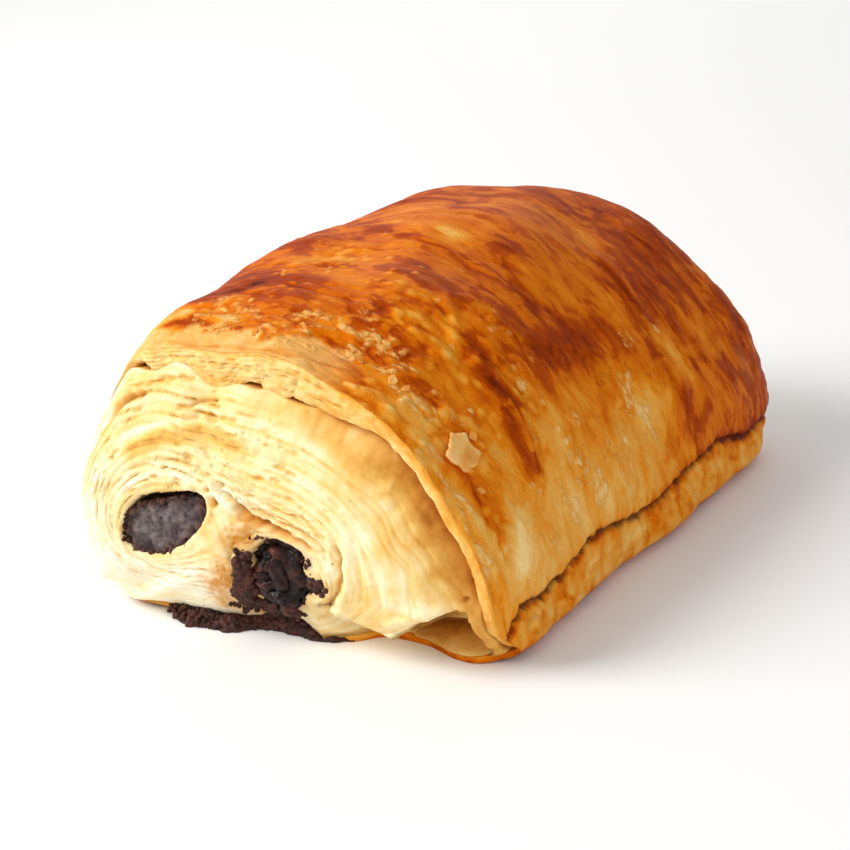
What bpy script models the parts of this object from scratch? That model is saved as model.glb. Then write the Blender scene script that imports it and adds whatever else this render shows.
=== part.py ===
"""Pain au chocolat: a rolled, laminated pastry baked round two chocolate bars.

Frame: metres, +Z up. The roll's axis lies along Y, and the shown spiral end faces -Y.
The outer wrap stands proud of the layered end on the right (+X) side and over the top,
and a creased foot runs along the base. Two bars of chocolate run the whole length, and
melted chocolate has crept out under the shown end.
"""

import bpy
import bmesh
import numpy as np

# ---------------------------------------------------------------- driving dimensions (mm)
WRAP_WIDTH = 72.0        # widest part of the roll, across X
WRAP_LENGTH = 96.0       # rim to rim of the outer wrap, along Y
CROWN_HEIGHT = 48.9      # base to crown at mid-length
WAIST_HEIGHT = 9.0       # height of the widest level, where the side crease runs
NEAR_DROP = 0.1204       # how much lower the crown is at the -Y end
FAR_DROP = 0.1466        # and at the +Y end
FAR_RIM_AT = 0.98        # the +Y rim, as a share of the half length
LEFT_FULLNESS = 3.3      # superellipse power of the upper left flank (full shoulder)
RIGHT_FULLNESS = 1.7     # and of the upper right flank (sloping)
RIM_LEAN = 3.0           # how far the top of the -Y rim leans back

LIP = 2.2                # thickness of the wrap's cut edge
LIP_GROOVE = 3.2         # depth of the shadow gap inside that edge
DOME = 4.6               # how far the layered end bulges past the wrap's rim
FAR_DOME = 2.6
CORNER_ROUND = 3.6       # rounding of the layered end into the left flank
RIDGE = 0.8              # relief of the rolled layers on the ends

CREASE_DEPTH = 1.7       # groove along the base of the sides
CREASE_WIDTH = 1.3
FOOT_BULGE = 0.8         # foot below the crease
LOBE_FLARE = 1.9         # widening of the left flank towards the -Y end

BAR_CLEARANCE = 0.3      # gap between chocolate and dough
LEFT_BAR = dict(near=(-16.4, 17.0), far=(-16.0, 16.0), half=(8.3, 4.9),
                near_half=(8.4, 5.0), tilt=19.0, near_tilt=19.0, start=-53.3, end=49.6)
RIGHT_BAR = dict(near=(3.1, 10.9), far=(5.0, 11.0), half=(7.9, 4.9),
                 near_half=(6.1, 6.4), tilt=-12.0, near_tilt=-22.0, start=-52.4, end=49.8)
SEEP = dict(x0=-20.0, x1=6.5, y0=-50.3, y1=-47.6, z=2.3, half_y=2.6, half_z=1.9)
POCKET = dict(x=25.6, z=5.0, half_x=4.5, half_z=2.3, tilt=14.0, mouth=-53.0, back=-38.5)

AROUND = 66              # points round each section
ALONG = 23               # sections along the roll
MM = 0.001
CENTRE = (-5.5, 13.0)    # where the rolled layers close on themselves


# ---------------------------------------------------------------- shape rules
def ease(a, b, x):
    t = np.clip((x - a) / (b - a), 0.0, 1.0)
    return t * t * (3 - 2 * t)


def bump(x, centre, width):
    return np.exp(-((x - centre) / width) ** 2)


def dense_section(t, count=1440):
    """(x, z) round the roll at station t in -1..1, from the middle of the base up the right."""
    u = np.linspace(-0.5 * np.pi, 1.5 * np.pi, count, endpoint=False)
    c, s = np.cos(u), np.sin(u)
    near, far = max(-t, 0.0), max(t, 0.0)
    half = 0.5 * WRAP_WIDTH * (1 - 0.0104 * near**2)
    half *= 0.25 + 0.75 * (1 - far**9.05) ** (1 / 9.05)
    top = CROWN_HEIGHT * (1 - NEAR_DROP * near**2 - FAR_DROP * far**2)
    top *= 0.3 + 0.7 * (1 - far**14.5) ** (1 / 14.5)
    upper = np.where(c > 0, RIGHT_FULLNESS, LEFT_FULLNESS)
    lower = np.where(c > 0, 10.0, 2.8)
    power = np.where(s > 0, upper, lower)
    x = half * np.sign(c) * np.abs(c) ** (2 / power)
    rise = np.abs(s) ** (2 / power)
    z = WAIST_HEIGHT + np.where(s > 0, (top - WAIST_HEIGHT) * rise, -WAIST_HEIGHT * rise)
    return x, z


def section(t, count):
    """The same, at `count` points: close together at the creases, even elsewhere."""
    x, z = dense_section(t)
    step = np.hypot(np.roll(x, -1) - x, np.roll(z, -1) - z)
    side = np.abs(x) / (0.5 * WRAP_WIDTH)
    weight = 1 + 2.6 * bump(z, WAIST_HEIGHT - 1.0, 3.0) * (side > 0.7)
    run = np.concatenate([[0.0], np.cumsum(step * weight)])
    at = np.linspace(0, run[-1], count, endpoint=False)
    x, z = np.append(x, x[0]), np.append(z, z[0])
    return np.interp(at, run, x), np.interp(at, run, z)


def crease_height(y):
    return 8.4 + 0.7 * np.sin(0.115 * y + 0.6) + 0.35 * np.sin(0.31 * y + 2.0)


def flank(x, y, z):
    """Creases and feet on both sides, and the broad unevenness of the baked crust."""
    side = ease(0.55, 0.93, np.abs(x) / (0.5 * WRAP_WIDTH))
    level = crease_height(y)
    groove = CREASE_DEPTH * bump(z, level, CREASE_WIDTH)
    foot = FOOT_BULGE * bump(z, 0.5 * level - 0.5, 2.6) * (1 + 0.8 * ease(15, 33, y))
    left = np.where(x < 0, 0.6, 1.0)
    x = x + np.sign(x) * side * left * (foot - groove)
    lift = ease(WAIST_HEIGHT, 26, z)
    swell = (0.55 * np.sin(0.13 * x + 0.09 * y + 0.4) + 0.45 * np.sin(0.21 * y - 0.10 * x + 1.1)
             + 0.25 * np.sin(0.33 * x + 0.17 * y + 2.6))
    z = z + lift * (swell - 0.45)
    x = x + ease(WAIST_HEIGHT, 16, z) * np.sign(x) * side * 0.4 * np.sin(0.19 * y + 0.23 * z)
    x = x - LOBE_FLARE * side * (x < 0) * (1 - ease(-46, -22, y)) * bump(z, 17, 15)
    return x, z


def lip_share(x, z):
    """1 where the wrap ends in a cut edge (over the top and down the right), 0 elsewhere."""
    return ease(-29, -19, x) * ease(1.0, 6.0, z)


def rim_setback(x, z):
    """How far each point of the -Y rim lies behind the rim plane."""
    lean = RIM_LEAN * np.clip((z - 18) / 30, 0, 1.2)
    corner = 3.2 * (1 - ease(0, 11, z)) * ease(17, 31, x)
    base = (1.2 + 2.2 * bump(x, 15, 6)) * (1 - ease(0, 7, z)) * (1 - ease(17, 31, x))
    return lean + corner + base


def end_relief(x, z, inward, dome):
    """Depth behind the rim at a distance `inward` of it: lip, gap, then the domed layers."""
    lip = lip_share(x, z)
    rounding = CORNER_ROUND * (1 - lip) * (1 - np.clip(inward / 7, 0, 1)) ** 2
    crown = dome * (1 - (1 - np.clip(inward / (10 + 8 * lip), 0, 1)) ** 2)
    gap = LIP_GROOVE * np.exp(-np.clip(inward - LIP - 0.9, 0, None) / 4.2)
    gap *= lip * ease(LIP, LIP + 0.8, inward)
    crown = crown * ((1 - lip) + lip * ease(LIP + 0.9, LIP + 3.0, inward))
    return rounding + gap - crown


def layered_cap(x0, z0, dome, plane, facing, rings):
    """Rings of points from the rim to CENTRE, for an end that faces `facing` along Y."""
    dx, dz = CENTRE[0] - x0, CENTRE[1] - z0
    reach = np.hypot(dx, dz)
    close = np.array([1.1, LIP, LIP + 1.0, LIP + 2.6])
    out = []
    for k in range(len(close) + rings):
        if k < len(close):
            share = np.minimum(close[k] / reach, 0.16 + 0.05 * k)
        else:
            edge = np.minimum(close[-1] / reach, 0.31)
            share = edge + (1 - edge) * (k - len(close) + 1) / (rings + 1.0)
        x, z = x0 + dx * share, z0 + dz * share
        depth = end_relief(x, z, share * reach, dome)
        if k >= len(close):
            depth = depth + RIDGE * (-1) ** k * ease(0, 0.4, 1 - share)
            depth = depth + 1.6 * np.exp(-((x - 3.1) ** 2 + (z - 10.9) ** 2) / 80.0)
        out.append(np.stack([x, plane(x, z) - facing * depth, z], 1))
    return out


def closed_mesh(name, rings, first, last):
    """One closed body from rings of equal length, closed by a point at each end."""
    n = len(rings[0])
    verts = [tuple(first)] + [tuple(p) for ring in rings for p in ring] + [tuple(last)]
    faces = []
    for i in range(n):
        j = (i + 1) % n
        faces.append((0, 1 + j, 1 + i))
        for k in range(len(rings) - 1):
            a, b = 1 + k * n, 1 + (k + 1) * n
            faces.append((a + i, a + j, b + j, b + i))
        tail = 1 + (len(rings) - 1) * n
        faces.append((tail + i, tail + j, len(verts) - 1))
    mesh = bpy.data.meshes.new(name)
    mesh.from_pydata([tuple(MM * v for v in p) for p in verts], [], faces)
    bm = bmesh.new()
    bm.from_mesh(mesh)
    bmesh.ops.recalc_face_normals(bm, faces=bm.faces)
    if bm.calc_volume(signed=True) < 0:
        bmesh.ops.reverse_faces(bm, faces=bm.faces)
    bm.to_mesh(mesh)
    bm.free()
    piece = bpy.data.objects.new(name, mesh)
    bpy.context.scene.collection.objects.link(piece)
    return piece


def material(name, colour, roughness, metallic=0.0):
    made = bpy.data.materials.new(name)
    made.use_nodes = True
    shader = made.node_tree.nodes["Principled BSDF"]
    shader.inputs["Base Color"].default_value = (*colour, 1.0)
    shader.inputs["Roughness"].default_value = roughness
    shader.inputs["Metallic"].default_value = metallic
    return made


# ---------------------------------------------------------------- the pastry
def near_plane(x, z):
    return -0.5 * WRAP_LENGTH + rim_setback(x, z)


def far_plane(x, z):
    return 0.5 * WRAP_LENGTH * FAR_RIM_AT - 0.4 * rim_setback(x, z)


def make_pastry():
    x, z = section(-1.0, AROUND)
    x, z = flank(x, np.full_like(x, -0.5 * WRAP_LENGTH), z)
    z = np.maximum(z, 0.0)
    near_rim = near_plane(x, z) + CORNER_ROUND * (1 - lip_share(x, z))
    near_cap = layered_cap(x, z, DOME, near_plane, -1.0, 7)

    xf, zf = section(FAR_RIM_AT, AROUND)
    xf, zf = flank(xf, np.full_like(xf, 0.5 * WRAP_LENGTH * FAR_RIM_AT), zf)
    zf = np.maximum(zf, 0.0)
    far_rim = far_plane(xf, zf) - CORNER_ROUND * (1 - lip_share(xf, zf))
    far_cap = layered_cap(xf, zf, FAR_DOME, far_plane, 1.0, 4)

    walls = []
    for k in range(ALONG):
        share = 0.5 - 0.5 * np.cos(np.pi * k / (ALONG - 1.0))
        share = 0.45 * share + 0.55 * k / (ALONG - 1.0)
        t = -1 + share * (1 + FAR_RIM_AT)
        xs, zs = section(t, AROUND)
        y = near_rim + (far_rim - near_rim) * share
        xs, zs = flank(xs, y, zs)
        zs = np.where(zs < 0.45, 0.0, zs)
        walls.append(np.stack([xs, y, zs], 1))

    middle = (CENTRE[0], -0.5 * WRAP_LENGTH - DOME + 0.3, CENTRE[1])
    far_middle = (CENTRE[0], 0.5 * WRAP_LENGTH * FAR_RIM_AT + FAR_DOME - 0.3, CENTRE[1])
    return closed_mesh("pastry", near_cap[::-1] + walls + far_cap, middle, far_middle)


# ---------------------------------------------------------------- the chocolate
def bar_rings(bar, grow, tunnel=False, around=20, along=14):
    """Oval rings of a bar that is squashed and twisted near the -Y end, with blunt ends.
    The tunnel for it has the same sections, grown by `grow`, and runs out past both ends."""
    a = np.linspace(0, 2 * np.pi, around, endpoint=False)
    c, s = np.cos(a), np.sin(a)
    start, end = bar["start"], bar["end"]
    profile = [(0.0, 0.30), (0.15, 0.62), (0.7, 0.88), (1.9, 1.0)]
    stops = [(start + d, k) for d, k in profile]
    inner = np.linspace(start + 5, end - 5, along)
    stops += [(y, 1.0) for y in inner]
    stops += [(end - d, k) for d, k in profile[::-1]]
    if tunnel:
        stops = [(start - 5, 1.0)] + [(y, 1.0) for y, _ in stops] + [(end + 5, 1.0)]
    rings = []
    for y, scale in stops:
        share = (y + 48) / 96
        melt = 1 - ease(-46, -34, y)
        half_x = bar["half"][0] + (bar["near_half"][0] - bar["half"][0]) * melt
        half_z = bar["half"][1] + (bar["near_half"][1] - bar["half"][1]) * melt
        tilt = np.radians(bar["tilt"] + (bar["near_tilt"] - bar["tilt"]) * melt)
        wave = 1 + 0.05 * np.sin(3 * a + 0.11 * y) + 0.04 * np.sin(5 * a - 0.07 * y + 1)
        px = (half_x * np.sign(c) * np.abs(c) ** 0.85 * wave + grow * c) * scale
        pz = (half_z * np.sign(s) * np.abs(s) ** 0.85 * wave + grow * s) * scale
        cx = bar["near"][0] + (bar["far"][0] - bar["near"][0]) * share
        cz = bar["near"][1] + (bar["far"][1] - bar["near"][1]) * share
        crumbs = 0.35 * np.sin(2 * a + 1.3) * (scale < 0.95) * (1 if y < 0 else 0.6)
        rings.append(np.stack([cx + px * np.cos(tilt) - pz * np.sin(tilt), y + crumbs * scale,
                               cz + px * np.sin(tilt) + pz * np.cos(tilt)], 1))
    return rings


def make_bar(name, bar):
    rings = bar_rings(bar, 0.0)
    return closed_mesh(name, rings, rings[0].mean(0), rings[-1].mean(0))


def make_tunnel(name, bar):
    rings = bar_rings(bar, BAR_CLEARANCE * 1.25, tunnel=True)
    return closed_mesh(name, rings, rings[0].mean(0), rings[-1].mean(0))


def make_seep(name, grow):
    """Melted chocolate lying along the foot of the -Y end: a lumpy, tapering strand."""
    a = np.linspace(0, 2 * np.pi, 12, endpoint=False)
    length = SEEP["x1"] - SEEP["x0"]
    rings = []
    for share in np.linspace(0, 1, 13):
        x = SEEP["x0"] - grow + (length + 2 * grow) * share
        fat = (0.35 + 0.65 * np.sin(np.pi * (0.08 + 0.84 * share)) ** 0.6)
        fat *= 1 + 0.16 * np.sin(11 * share + 0.5)
        y = SEEP["y0"] + (SEEP["y1"] - SEEP["y0"]) * share + 0.4 * np.sin(7 * share) + (SEEP["half_y"] * fat + grow) * np.cos(a)
        z = SEEP["z"] + (SEEP["half_z"] * fat + grow) * np.sin(a) * (1 + 0.1 * np.sin(17 * share))
        rings.append(np.stack([np.full_like(a, x), y, np.maximum(z, 0.25 - 4 * grow)], 1))
    return closed_mesh(name, rings, rings[0].mean(0) - (0.6, 0, 0), rings[-1].mean(0) + (0.6, 0, 0))


def make_pocket():
    """Air pocket left where the roll meets the wrap, low on the right of the -Y end."""
    a = np.linspace(0, 2 * np.pi, 16, endpoint=False)
    tilt = np.radians(POCKET["tilt"])
    rings = []
    for share in (0.0, 0.45, 0.7, 0.88, 0.97):
        y = POCKET["mouth"] + (POCKET["back"] - POCKET["mouth"]) * share
        scale = 1.0 if share < 0.5 else float(np.sqrt(1 - ((share - 0.45) / 0.56) ** 2))
        px = POCKET["half_x"] * scale * np.cos(a)
        pz = POCKET["half_z"] * scale * np.sin(a)
        rings.append(np.stack([POCKET["x"] + px * np.cos(tilt) - pz * np.sin(tilt),
                               np.full_like(a, y),
                               POCKET["z"] + px * np.sin(tilt) + pz * np.cos(tilt)], 1))
    return closed_mesh("pocket_cutter", rings, rings[0].mean(0),
                       rings[-1].mean(0) + (0, 0.4, 0))


def cut(piece, cutter):
    cutter.hide_render = True
    cutter.display_type = "WIRE"
    step = piece.modifiers.new("cut_" + cutter.name, "BOOLEAN")
    step.operation = "DIFFERENCE"
    step.solver = "EXACT"
    step.object = cutter


def main():
    for old in list(bpy.data.objects):
        bpy.data.objects.remove(old, do_unlink=True)

    crust = material("baked_crust", (0.60, 0.26, 0.06), 0.38)
    dark = material("dark_chocolate", (0.045, 0.022, 0.016), 0.5)
    melted = material("melted_chocolate", (0.035, 0.017, 0.012), 0.3)

    pastry = make_pastry()
    left = make_bar("chocolate_bar_left", LEFT_BAR)
    right = make_bar("chocolate_bar_right", RIGHT_BAR)
    seep = make_seep("chocolate_seep", 0.0)
    cutters = [make_tunnel("tunnel_left", LEFT_BAR), make_tunnel("tunnel_right", RIGHT_BAR),
               make_seep("seep_cutter", 0.35), make_pocket()]
    for cutter in cutters:
        cut(pastry, cutter)
    cut(seep, cutters[1])

    for piece, look in ((pastry, crust), (left, dark), (right, dark), (seep, melted)):
        piece.data.materials.append(look)
        piece.data.shade_smooth()
        piece.data.set_sharp_from_angle(angle=np.radians(40))

    # the origin is the middle of the whole thing's box, at its base
    solids = [pastry, left, right, seep]
    points = np.array([v.co[:] for piece in solids for v in piece.data.vertices])
    low, high = points.min(0), points.max(0)
    shift = (-0.5 * (low[0] + high[0]), -0.5 * (low[1] + high[1]), -low[2])
    holder = bpy.data.objects.new("pain_au_chocolat", None)
    bpy.context.scene.collection.objects.link(holder)
    for piece in solids + cutters:
        piece.parent = holder
    holder.location = shift
    print("shift_mm", [round(1000 * float(v), 4) for v in shift], "size_mm",
          [round(1000 * float(v), 3) for v in high - low])
    for piece in solids:
        print(piece.name, len(piece.data.polygons))


main()
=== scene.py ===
import math

import bpy
import numpy as np
from mathutils import Matrix, Vector


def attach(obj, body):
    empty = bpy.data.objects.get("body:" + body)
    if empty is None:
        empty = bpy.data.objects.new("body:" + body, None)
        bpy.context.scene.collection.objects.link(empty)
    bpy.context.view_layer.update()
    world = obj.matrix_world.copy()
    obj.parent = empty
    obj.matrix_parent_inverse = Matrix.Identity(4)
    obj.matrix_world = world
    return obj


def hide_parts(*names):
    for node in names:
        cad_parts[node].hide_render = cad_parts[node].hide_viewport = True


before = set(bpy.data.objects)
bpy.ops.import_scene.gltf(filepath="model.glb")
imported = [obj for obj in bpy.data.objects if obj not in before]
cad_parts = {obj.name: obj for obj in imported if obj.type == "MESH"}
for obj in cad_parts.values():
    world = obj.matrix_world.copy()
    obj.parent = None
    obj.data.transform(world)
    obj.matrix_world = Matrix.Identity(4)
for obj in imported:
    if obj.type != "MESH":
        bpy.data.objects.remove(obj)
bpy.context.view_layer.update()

# Looks of the pain au chocolat. Lengths inside the shape rules are in mm, in a frame whose
# origin lies SHIFT before the row's; put() turns them into the row frame's metres.
SHIFT = np.array([0.2728, 1.6634, 0.0])
WRAP_WIDTH, WRAP_LENGTH, CROWN_HEIGHT, WAIST = 72.0, 96.0, 48.9, 9.0
NEAR_DROP, FAR_DROP, FAR_RIM_AT = 0.1204, 0.1466, 0.98
LEFT_FULLNESS, RIGHT_FULLNESS, RIM_LEAN = 3.3, 1.7, 3.0
LIP_GROOVE, DOME, FAR_DOME, CORNER_ROUND = 3.2, 4.6, 2.6, 3.6
LOBE_FLARE = 1.9
CENTRE = (-5.5, 13.0)


def put(points):
    return (np.asarray(points, float) + SHIFT) * 0.001


# ------------------------------------------------------------------ small maths
def ease(a, b, x):
    t = np.clip((x - a) / (b - a), 0.0, 1.0)
    return t * t * (3 - 2 * t)


def bump(x, centre, width):
    return np.exp(-(((x - centre) / width) ** 2))


def mix(a, b, t):
    return a * (1 - t) + b * t


_g = np.random.default_rng(20)
PERM = np.tile(_g.permutation(256), 2).astype(np.int64)
GRAD = _g.normal(size=(256, 3))
GRAD /= np.linalg.norm(GRAD, axis=1, keepdims=True)


def noise(x, y, z=0.0, seed=0):
    """Gradient noise, about -1..1."""
    x, y, z = np.broadcast_arrays(np.asarray(x, float), y, z)
    x, y, z = x + 17.3 * seed, y - 9.7 * seed, z + 5.1 * seed
    xi, yi, zi = np.floor(x), np.floor(y), np.floor(z)
    fx, fy, fz = x - xi, y - yi, z - zi
    xi, yi, zi = (v.astype(np.int64) for v in (xi, yi, zi))
    u, v, w = (f * f * f * (f * (f * 6 - 15) + 10) for f in (fx, fy, fz))
    out = 0.0
    for a in (0, 1):
        for b in (0, 1):
            for c in (0, 1):
                h = PERM[(PERM[(PERM[(xi + a) & 255] + yi + b) & 255] + zi + c) & 255]
                g = GRAD[h]
                dot = g[..., 0] * (fx - a) + g[..., 1] * (fy - b) + g[..., 2] * (fz - c)
                out = out + dot * (u if a else 1 - u) * (v if b else 1 - v) * (w if c else 1 - w)
    return out * 1.6


def fbm(x, y, z=0.0, octaves=4, gain=0.5, seed=0):
    total, size, norm = 0.0, 1.0, 0.0
    for k in range(octaves):
        f = 2.03**k
        total = total + size * noise(x * f, y * f, z * f, seed + 3 * k)
        norm += size
        size *= gain
    return total / norm


def cells(x, y, seed=0, jitter=0.9):
    """Distance to the nearest and second nearest of scattered points, and the nearest's own number."""
    x, y = np.broadcast_arrays(np.asarray(x, float), np.asarray(y, float))
    xi, yi = np.floor(x).astype(np.int64), np.floor(y).astype(np.int64)
    d1 = np.full(x.shape, 9.0)
    d2 = np.full(x.shape, 9.0)
    who = np.zeros(x.shape)
    for a in (-1, 0, 1):
        for b in (-1, 0, 1):
            h = PERM[(PERM[(xi + a + 31 * seed) & 255] + yi + b) & 255]
            px = xi + a + 0.5 + jitter * (h / 255.0 - 0.5)
            h2 = PERM[(h + 57) & 255]
            py = yi + b + 0.5 + jitter * (h2 / 255.0 - 0.5)
            d = np.hypot(x - px, y - py)
            near = d < d1
            d2 = np.where(near, d1, np.minimum(d2, d))
            who = np.where(near, PERM[(h + h2) & 255] / 255.0, who)
            d1 = np.minimum(d1, d)
    return d1, d2, who


def along(px, py, pts):
    """Distance to a polyline, how far along it (0..1), and on which side (+ is left of its run)."""
    pts = np.asarray(pts, float)
    run = np.concatenate([[0], np.cumsum(np.hypot(*np.diff(pts, axis=0).T))])
    best = np.full(np.shape(px), 1e9)
    share, side = np.zeros(np.shape(px)), np.zeros(np.shape(px))
    for k in range(len(pts) - 1):
        d = pts[k + 1] - pts[k]
        n = float(np.hypot(*d))
        t = np.clip(((px - pts[k, 0]) * d[0] + (py - pts[k, 1]) * d[1]) / n**2, 0, 1)
        qx, qy = px - pts[k, 0] - t * d[0], py - pts[k, 1] - t * d[1]
        r = np.hypot(qx, qy)
        nearer = r < best
        best = np.where(nearer, r, best)
        share = np.where(nearer, (run[k] + t * n) / run[-1], share)
        side = np.where(nearer, np.sign(d[0] * qy - d[1] * qx), side)
    return best, share, side


def taper(share, start=0.15, end=0.15):
    return ease(0, start, share) * ease(1, 1 - end, share)


def spot(a, b, a0, b0, ra, rb):
    return np.exp(-((a - a0) / ra) ** 2 - ((b - b0) / rb) ** 2)


def polar(points, centre, blur=2, count=720):
    """A closed outline as its reach by angle from a centre inside it."""
    p = np.asarray(points, float)
    t = np.linspace(0, 1, 60, endpoint=False)[:, None, None]
    dense = (p[None] * (1 - t) + np.roll(p, -1, 0)[None] * t).reshape(-1, 2) - np.asarray(centre, float)
    th = np.mod(np.arctan2(dense[:, 1], dense[:, 0]), 2 * np.pi)
    order = np.argsort(th)
    th, r = th[order], np.hypot(dense[:, 0], dense[:, 1])[order]
    r = np.interp(np.linspace(0, 2 * np.pi, count, endpoint=False),
                  np.concatenate([th - 2 * np.pi, th, th + 2 * np.pi]), np.tile(r, 3))
    for _ in range(blur * 4):
        r = (np.roll(r, 3) + r + np.roll(r, -3)) / 3
    return r


def reach_of(table, th):
    k = np.mod(th, 2 * np.pi) / (2 * np.pi) * len(table)
    return np.interp(k, np.arange(len(table) + 1), np.append(table, table[0]))


def outside(x, z, face):
    """Signed distance, nearly, to a cut face given as (centre, reach by angle)."""
    (cx, cz), table = face
    return np.hypot(x - cx, z - cz) - reach_of(table, np.arctan2(z - cz, x - cx))


# ------------------------------------------------------------------ the roll's own shape
def dense_section(t, count=1440):
    u = np.linspace(-0.5 * np.pi, 1.5 * np.pi, count, endpoint=False)
    c, s = np.cos(u), np.sin(u)
    near, far = max(-t, 0.0), max(t, 0.0)
    half = 0.5 * WRAP_WIDTH * (1 - 0.0104 * near**2)
    half *= 0.25 + 0.75 * (1 - far**9.05) ** (1 / 9.05)
    top = CROWN_HEIGHT * (1 - NEAR_DROP * near**2 - FAR_DROP * far**2)
    top *= 0.3 + 0.7 * (1 - far**14.5) ** (1 / 14.5)
    upper = np.where(c > 0, RIGHT_FULLNESS, LEFT_FULLNESS)
    lower = np.where(c > 0, 10.0, 2.8)
    power = np.where(s > 0, upper, lower)
    x = half * np.sign(c) * np.abs(c) ** (2 / power)
    rise = np.abs(s) ** (2 / power)
    z = WAIST + np.where(s > 0, (top - WAIST) * rise, -WAIST * rise)
    return x, z


def section(t, count, base_share=0.3):
    """(x, z, arc from the crown) round the roll, sparse along the base."""
    x, z = dense_section(t)
    step = np.hypot(np.roll(x, -1) - x, np.roll(z, -1) - z)
    weight = np.where((z < 0.6) & (np.abs(x) < 31), base_share, 1.0)
    weight = weight * (1 + 0.5 * bump(z, 8.0, 3.5) * (x > 25))
    weight = weight * np.where((x < -25) & (z < 32), 0.75, 1.0)
    run = np.concatenate([[0.0], np.cumsum(step * weight)])
    arc = np.concatenate([[0.0], np.cumsum(step)])
    at = np.linspace(0, run[-1], count, endpoint=False)
    x, z = np.append(x, x[0]), np.append(z, z[0])
    crown = np.interp(np.argmax(z), np.arange(len(arc)), arc)
    return np.interp(at, run, x), np.interp(at, run, z), crown - np.interp(at, run, arc)


CREASE = np.array([(-46, 3.6), (-44, 6.0), (-41, 7.3), (-38.5, 7.4), (-34, 6.9), (-29.5, 7.5), (-24.7, 8.5),
                   (-20, 9.7), (-15, 9.3), (-7.8, 7.9), (-1.4, 7.6), (4.8, 8.0), (10.8, 8.7), (16, 9.0),
                   (21, 9.6), (27, 8.2), (32, 6.9), (44, 7.1)])


def crease_height(x, y):
    """Height of the seam where the wrap meets the foot, on the right and on the left."""
    right = np.interp(y, CREASE[:, 0], CREASE[:, 1])
    right = right + 0.35 * noise(y / 2.3, 3.0) + 0.2 * noise(y / 0.9, 9.0)
    left = 8.4 + 0.7 * np.sin(0.115 * y + 0.6) + 0.35 * np.sin(0.31 * y + 2.0) + 0.3 * noise(y / 2.6, 7.0)
    return np.where(x > 0, right, left)


def flank(x, y, z, groove_depth=0.45, groove_width=0.6):
    side = ease(0.55, 0.93, np.abs(x) / (0.5 * WRAP_WIDTH))
    level = crease_height(x, y)
    groove = groove_depth * bump(z, level, groove_width)
    foot = 0.22 * bump(z, 0.5 * level - 0.5, 2.6) * (1 + 0.8 * ease(15, 33, y)) - 0.25 * ease(0.3, -0.4, z - level) * ease(2, 5, z)
    left = np.where(x < 0, 0.6, 1.0)
    x = x + np.sign(x) * side * left * (foot - groove)
    right = ease(12, 26, x)
    x = x + right * ease(8, 3, z) * (1.0 * bump(y, -38, 9) + 1.0 * bump(y, 5, 8) - 1.5 * ease(33, 46, y)
                                     - 0.5 * bump(y, -12, 7) + 0.35 * noise(y / 5.0, 1.7))
    lift = ease(WAIST, 26, z)
    swell = (0.55 * np.sin(0.13 * x + 0.09 * y + 0.4) + 0.45 * np.sin(0.21 * y - 0.10 * x + 1.1)
             + 0.25 * np.sin(0.33 * x + 0.17 * y + 2.6))
    z = z + lift * (swell - 0.45)
    x = x + ease(WAIST, 16, z) * np.sign(x) * side * 0.4 * np.sin(0.19 * y + 0.23 * z)
    x = x - LOBE_FLARE * side * (x < 0) * (1 - ease(-46, -22, y)) * bump(z, 17, 15)
    # this roll's own departures from an even one
    z = z * (1 - 0.85 * ease(-8, -45, y) * ease(-18, -28, x) * ease(8.5, 3.0, z))
    x = x + 1.1 * bump(x, -34, 6) * bump(z, 33, 7) * ease(-36, -46, y)
    z = z + ease(30, 38, z) * (1.3 * bump(x, -25, 6) * bump(y, -38, 8) + 1.2 * bump(x, 6, 9) * bump(y, 41, 7))
    x = x - 0.9 * right * bump(y, 38, 8) * bump(z, 31, 8)
    return x, z


def lip_share(x, z):
    return ease(-29, -19, x) * ease(1.0, 6.0, z)


def left_round(x):
    """The left lobe has no free lip: its corner rounds over instead."""
    return CORNER_ROUND * (1 - ease(-29, -19, x))


def rim_setback(x, z):
    lean = RIM_LEAN * np.clip((z - 18) / 30, 0, 1.2)
    corner = 3.2 * (1 - ease(0, 11, z)) * ease(17, 31, x)
    return lean + corner


def near_plane(x, z):
    return -0.5 * WRAP_LENGTH + rim_setback(x, z)


def far_plane(x, z):
    return 0.5 * WRAP_LENGTH * FAR_RIM_AT - 0.4 * rim_setback(x, z)


# where the near end meets the floor, (x, y)
BASE_FRONT = np.array([(-37, -40.0), (-34, -43.2), (-31.7, -45.1), (-28.6, -46.6), (-24, -47.2), (-18, -47.6),
                       (-11, -47.0), (-5.5, -45.7), (-3.3, -45.3), (1, -46.0), (5, -46.4), (9.7, -46.2), (11.4, -44.8),
                       (12.8, -42.8), (14.6, -42.1), (18, -42.3), (21, -42.7), (23.6, -43.9), (26, -45.0), (29.4, -45.6),
                       (31.2, -44.9), (33, -43.4), (37, -40.5)])


def near_rim_y(x, z):
    base = np.interp(x, BASE_FRONT[:, 0], BASE_FRONT[:, 1])
    return mix(base, near_plane(x, z) + left_round(x), ease(-0.5, 6.5, z) ** 0.8)


def far_rim_y(x, z):
    return far_plane(x, z) - left_round(x) - 1.6 * (1 - ease(0, 6, z))


def lip_thickness(x, z, near=True):
    """Thickness of the wrap where it ends, for a point of its rim."""
    side = 0.8 + 2.0 * ease(-29, -19, x)
    if near:
        side = side + 2.1 * ease(-17, -8, x) * (1 - ease(9, 21, x)) * ease(28, 36, z)
        side = side - 1.0 * ease(12, 22, x)
    side = side * (1 + 0.12 * np.sin(0.5 * x + 0.3 * z))
    return mix(0.75, side, ease(0.8, 7.0, z))


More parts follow.
